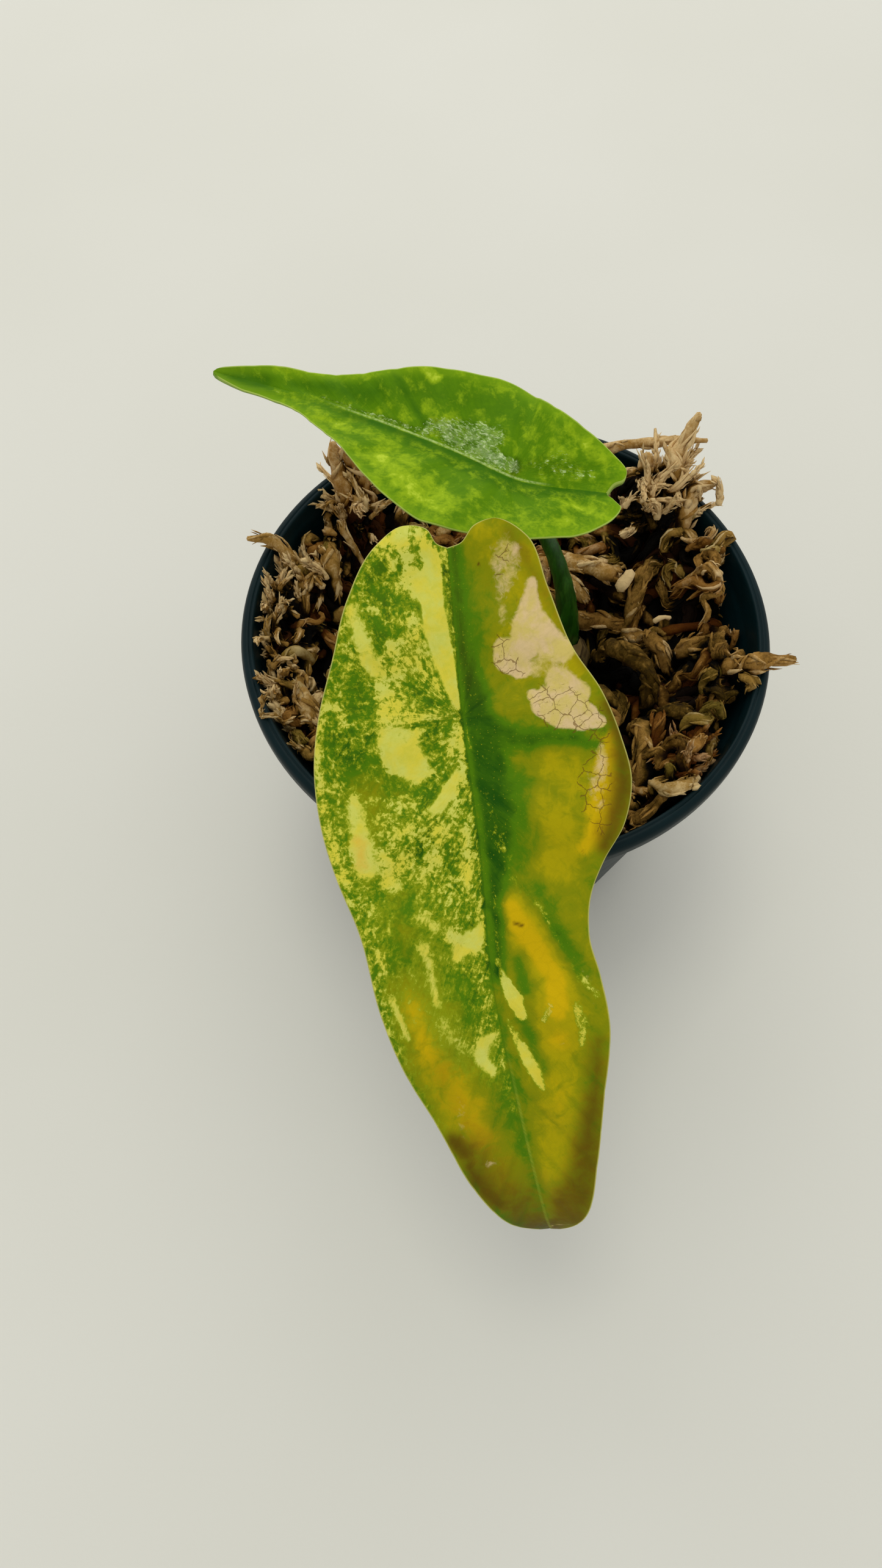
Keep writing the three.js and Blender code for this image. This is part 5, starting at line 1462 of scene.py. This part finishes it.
def tuft_strands(count, centre, spread, height, length, radius, heading, rings=10):
    """Short strands that stand in a tuft: drawn feet round the centre, all leaning roughly one way.

    Path = foot + reach (t way + t^2 hook), with way and hook drawn, and radius r (1 - 0.75 t^1.5)."""
    foot = np.array(centre, float) + random.normal(0, 1, (count, 3)) * spread
    foot[:, 2] = random.uniform(*height, count)
    way = unit(np.array(heading, float) + random.normal(0, 0.55, (count, 3)))
    hook = random.normal(0, 0.35, (count, 3))
    t = np.linspace(0, 1, rings)[None, :, None]
    reach = random.uniform(*length, (count, 1, 1))
    paths = foot[:, None] + way[:, None] * reach * t + hook[:, None] * reach * t * t
    sizes = random.uniform(*radius, (count, 1)) * (1 - 0.75 * t[..., 0] ** 1.5)
    return clear_of_neighbours(paths, sizes, 0.5), sizes


def moss_core():
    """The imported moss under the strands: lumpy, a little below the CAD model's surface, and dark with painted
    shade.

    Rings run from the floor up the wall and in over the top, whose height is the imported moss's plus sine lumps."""
    angle = 2 * np.pi * np.arange(CORE_SEGMENTS) / CORE_SEGMENTS
    bottom = FLOOR_TOP + MOSS_CLEARANCE
    sides = [
        (bottom, CORE_TOP_RADIUS), (bottom, inner_radius(FLOOR_TOP) - 0.75),
        (30, inner_radius(30) - 0.4), (58, inner_radius(58) - 0.4),
    ]
    rings = [
        np.stack([radius * np.cos(angle), radius * np.sin(angle), np.full(CORE_SEGMENTS, height)], axis=-1)
        for height, radius in sides
    ]
    radii = np.concatenate([[CORE_TOP_RADIUS], np.linspace(14, 43.0, 60)])[::-1]
    x = radii[:, None] * np.cos(angle)
    y = radii[:, None] * np.sin(angle)
    lumps = np.sin(x * 1.1 + 2 * np.sin(y * 0.7)) * np.cos(y * 1.3 + 1.5 * np.sin(x * 0.6))
    lumps = lumps + 0.5 * np.sin(2.7 * x + 1.1) * np.sin(2.3 * y)
    rings += list(np.stack([x, y, moss_height(x, y, EDGE_RISE - 1.5) - CORE_DEPTH + 0.9 * lumps], axis=-1))
    poles = [[0, 0, bottom], [0, 0, float(moss_height(0.0, 0.0)) - CORE_DEPTH]]
    vertices = np.concatenate([np.concatenate(rings), poles])
    quads, triangles = closed_faces(len(rings), CORE_SEGMENTS)
    # painted shade: the packing gets a dark tone and counts as 3 mm under the top, so it is fully shaded
    fields = even_fields(len(vertices), 0.1, 0.0, 3.0)
    make_piece("moss_packing", vertices, quads, triangles, moss, ["sphagnum_moss"], fields)


def shaded(tone, strands):
    """Tones made darker on the strands in the hollow side of the pot, by 0.4 at (31, -9) and less around it."""
    middle = strands[0][:, strands[0].shape[1] // 2]
    return tone - 0.4 * np.exp(-((middle[:, 0] - 31) ** 2 + (middle[:, 1] + 9) ** 2) / 560)


def stem_ends():
    """Two broken pale stem ends that lie on the moss: short lumpy pegs with blunt ends."""
    control = np.array([
        [[23.2, 11.0, 74.6], [24.0, 11.8, 75.4], [24.8, 12.8, 76.2], [25.2, 13.6, 76.6]],
        [[29.4, 3.4, 74.6], [30.4, 3.8, 75.2], [31.4, 3.9, 75.4], [32.4, 3.8, 75.2]],
    ])
    radii = np.array([[1.25, 1.35, 1.2, 1.3], [0.7, 0.8, 0.6, 0.65]])
    vertices, quads, triangles, uvs = tubes(control, rope_radii(radii, 5), 5, 0.8)
    fields = even_fields(len(vertices), 1.25, 1.0, -1.0)
    make_piece("moss_stem_ends", vertices, quads, triangles, moss, [], fields, uvs)


moss = moss_material()
moss_core()
stem_ends()
main_paths, main_sizes, main_tone, main_warmth = main_strands()
low_strands = filling_strands(150, 18, (4, 43.5), (-3.0, 0.2), (10, 20), (1.1, 1.9))
high_strands = filling_strands(140, 18, (6, 40), (-0.4, 2.8), (8, 18), (0.9, 1.8))
edge_strands = filling_strands(200, 18, (38.5, 46.8), (0.5, 7.5), (6, 13), (0.8, 1.5))

# Tufts at the rim: count, foot, spread of the feet, height, length, radius, heading
TUFTS = [
    (70, (30.5, 29, 0), (3.4, 2.4, 0), (73, 84), (3, 6.5), (0.7, 1.3), (0.4, 0.2, 1.0)),
    (26, (-30.5, 30, 0), (2.4, 2.4, 0), (71, 80), (3, 6), (0.6, 1.2), (-0.2, 0.5, 0.8)),
    (30, (-39, 14, 0), (3.0, 3.4, 0), (70, 77), (3, 6), (0.6, 1.2), (-0.5, 0.2, 0.7)),
    (24, (33, -27, 0), (2.4, 2.2, 0), (72.5, 77), (3, 6), (0.7, 1.2), (0.3, 0.0, 0.8)),
    (30, (-43.6, 4, 0), (1.6, 4.5, 0), (74, 78.5), (3, 6.5), (0.45, 0.9), (-0.4, -0.2, 0.6)),
    (30, (-42.5, -12, 0), (1.8, 5.0, 0), (73, 77.5), (3, 6), (0.5, 1.0), (-0.4, 0.1, 0.7)),
]
tuft_set = tuple(np.concatenate(part) for part in zip(*(tuft_strands(*tuft) for tuft in TUFTS)))
main_set = (main_paths, main_sizes)
tops = top_map([main_set, low_strands, high_strands, edge_strands, tuft_set])

main_ragged = np.full(len(main_tone), 0.25)
strand_set("moss_strands", main_set, shaded(main_tone, main_set), main_warmth, main_ragged, 1650, 1300, tops)

# Filling: name, strands, ranges of tone, warmth and raggedness, branches, leaves, sides of a rope
FILLINGS = [
    ("moss_low_filling", low_strands, (0.05, 0.5), (0.1, 0.9), (0.1, 0.4), 800, 500, 8),
    ("moss_high_filling", high_strands, (0.3, 0.8), (0.1, 0.9), (0.1, 0.5), 1500, 1600, 8),
    ("moss_edge_filling", edge_strands, (0.3, 0.85), (0.1, 0.8), (0.1, 0.5), 1500, 1400, 6),
]
for name, strands, tones, warmths, raggedness, branches, leaves, sides in FILLINGS:
    tone, warmth, ragged = (random.uniform(*span, len(strands[0])) for span in (tones, warmths, raggedness))
    strand_set(name, strands, shaded(tone, strands), warmth, ragged, branches, leaves, tops, sides)

# Tufts in the order above: ranges of tone and of warmth with the number of strands that share them
TUFT_TONES = [(0.9, 1.25, 70), (0.55, 0.95, 56), (0.4, 0.8, 24), (0.5, 0.95, 60)]
TUFT_WARMTHS = [(0.4, 0.6, 126), (0.8, 1.0, 24), (0.3, 0.6, 60)]
tuft_tone = np.concatenate([random.uniform(*share) for share in TUFT_TONES])
tuft_warmth = np.concatenate([random.uniform(*share) for share in TUFT_WARMTHS])
tuft_ragged = random.uniform(0.3, 0.9, len(tuft_tone))
strand_set("moss_tufts", tuft_set, tuft_tone, tuft_warmth, tuft_ragged, 550, 2700, tops, 6, 2.5)


# Plant foot: the CAD rhizome stays, with a corky skin


def rhizome_material():
    """Corky rhizome skin, grown in rings: matt brown ridges 1.1 mm apart with paler spots of 2 mm."""
    s = Surface("rhizome_bark")
    place = s.node("object_place")
    ringed = s.node("scaled", place, (1 / (11.11 * MM), 1 / (11.11 * MM), 1 / (1.111 * MM)))
    rings = s.node("noise", ringed, 1.0, 5, 0.65)
    spots = s.node("noise", place, 1 / (2 * MM), 4, 0.6)
    colour = s.node("mix", s.node("step", rings, 0.35, 0.65), "#3a2a12", "#7a6236")
    colour = s.node("mix", s.node("multiply", s.node("step", spots, 0.5, 0.7), 0.5), colour, "#94804e")
    normal = s.node("bump", rings, 0.4 * MM, 0.8)
    return s.finish(Base_Color=colour, Roughness=0.85, Normal=normal, Specular_IOR_Level=0.3)


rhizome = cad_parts["rhizome_and_roots"]
rhizome.data.materials.clear()
rhizome.data.materials.append(rhizome_material())
rhizome.data.shade_smooth()


# Floor, light and camera, in metres

FLOOR_REACH = 40
PLANT_MIDDLE = (0, -0.02, 0.08)
SKY_COLOUR = (0.98, 0.995, 0.95, 1)
SKY_STRENGTH = 0.77
CAMERA_PLACE = (-0.01214, -0.11525, 0.25255)
CAMERA_TILT = 25.19
CAMERA_LENS = 24.94


def floor_material():
    """Matt painted board, rolled: even and pale, with a grain of 1.1 mm and barely seen clouds of 170 mm."""
    s = Surface("painted_board")
    place = s.node("object_place")
    grain = s.node("noise", place, 1 / (1.111 * MM), 3, 0.6)
    clouds = s.node("noise", place, 1 / (166.7 * MM), 3, 0.5)
    colour = s.node("mix", s.node("step", clouds, 0.3, 0.7), "#d8d6cf", "#dbd9d3")
    normal = s.node("bump", grain, 0.05 * MM, 0.5)
    return s.finish(Base_Color=colour, Roughness=0.8, Normal=normal, Specular_IOR_Level=0.2)


floor_mesh = bpy.data.meshes.new("floor")
floor_corners = [(x * FLOOR_REACH, y * FLOOR_REACH, 0) for x, y in ((-1, -1), (1, -1), (1, 1), (-1, 1))]
floor_mesh.from_pydata(floor_corners, [], [(0, 1, 2, 3)])
floor_mesh.materials.append(floor_material())
floor = bpy.data.objects.new("floor", floor_mesh)
bpy.context.scene.collection.objects.link(floor)


def softbox(name, direction, distance, size, watts, colour):
    """A square lamp at distance along direction from the middle of the plant, facing it."""
    lamp = bpy.data.lights.new(name, "AREA")
    lamp.size = size
    lamp.energy = watts
    lamp.color = colour
    holder = bpy.data.objects.new(name, lamp)
    away = np.array(direction, float) / np.linalg.norm(direction)
    holder.location = np.array(PLANT_MIDDLE) + away * distance
    holder.rotation_euler = (math.acos(away[2]), 0, math.atan2(away[1], away[0]) + math.pi / 2)
    bpy.context.scene.collection.objects.link(holder)


softbox("window_light", (-0.1, 1.0, 0.75), 1.3, 1.2, 4.6, (1.0, 0.99, 0.95))
softbox("leaf_light", (-0.1, 0.1, 1.0), 0.95, 0.3, 1.3, (1.0, 1.0, 0.84))

world = bpy.data.worlds.new("studio")
world.use_nodes = True
sky = world.node_tree.nodes["Background"]
sky.inputs["Color"].default_value = SKY_COLOUR
sky.inputs["Strength"].default_value = SKY_STRENGTH
bpy.context.scene.world = world

camera = bpy.data.cameras.new("camera")
camera.sensor_width = 36
camera.lens = CAMERA_LENS
camera.clip_start = 0.005
camera.clip_end = 20
holder = bpy.data.objects.new("camera", camera)
holder.location = CAMERA_PLACE
holder.rotation_euler = (math.radians(CAMERA_TILT), 0, 0)
bpy.context.scene.collection.objects.link(holder)
bpy.context.scene.camera = holder
bpy.context.scene.view_settings.view_transform = "Standard"
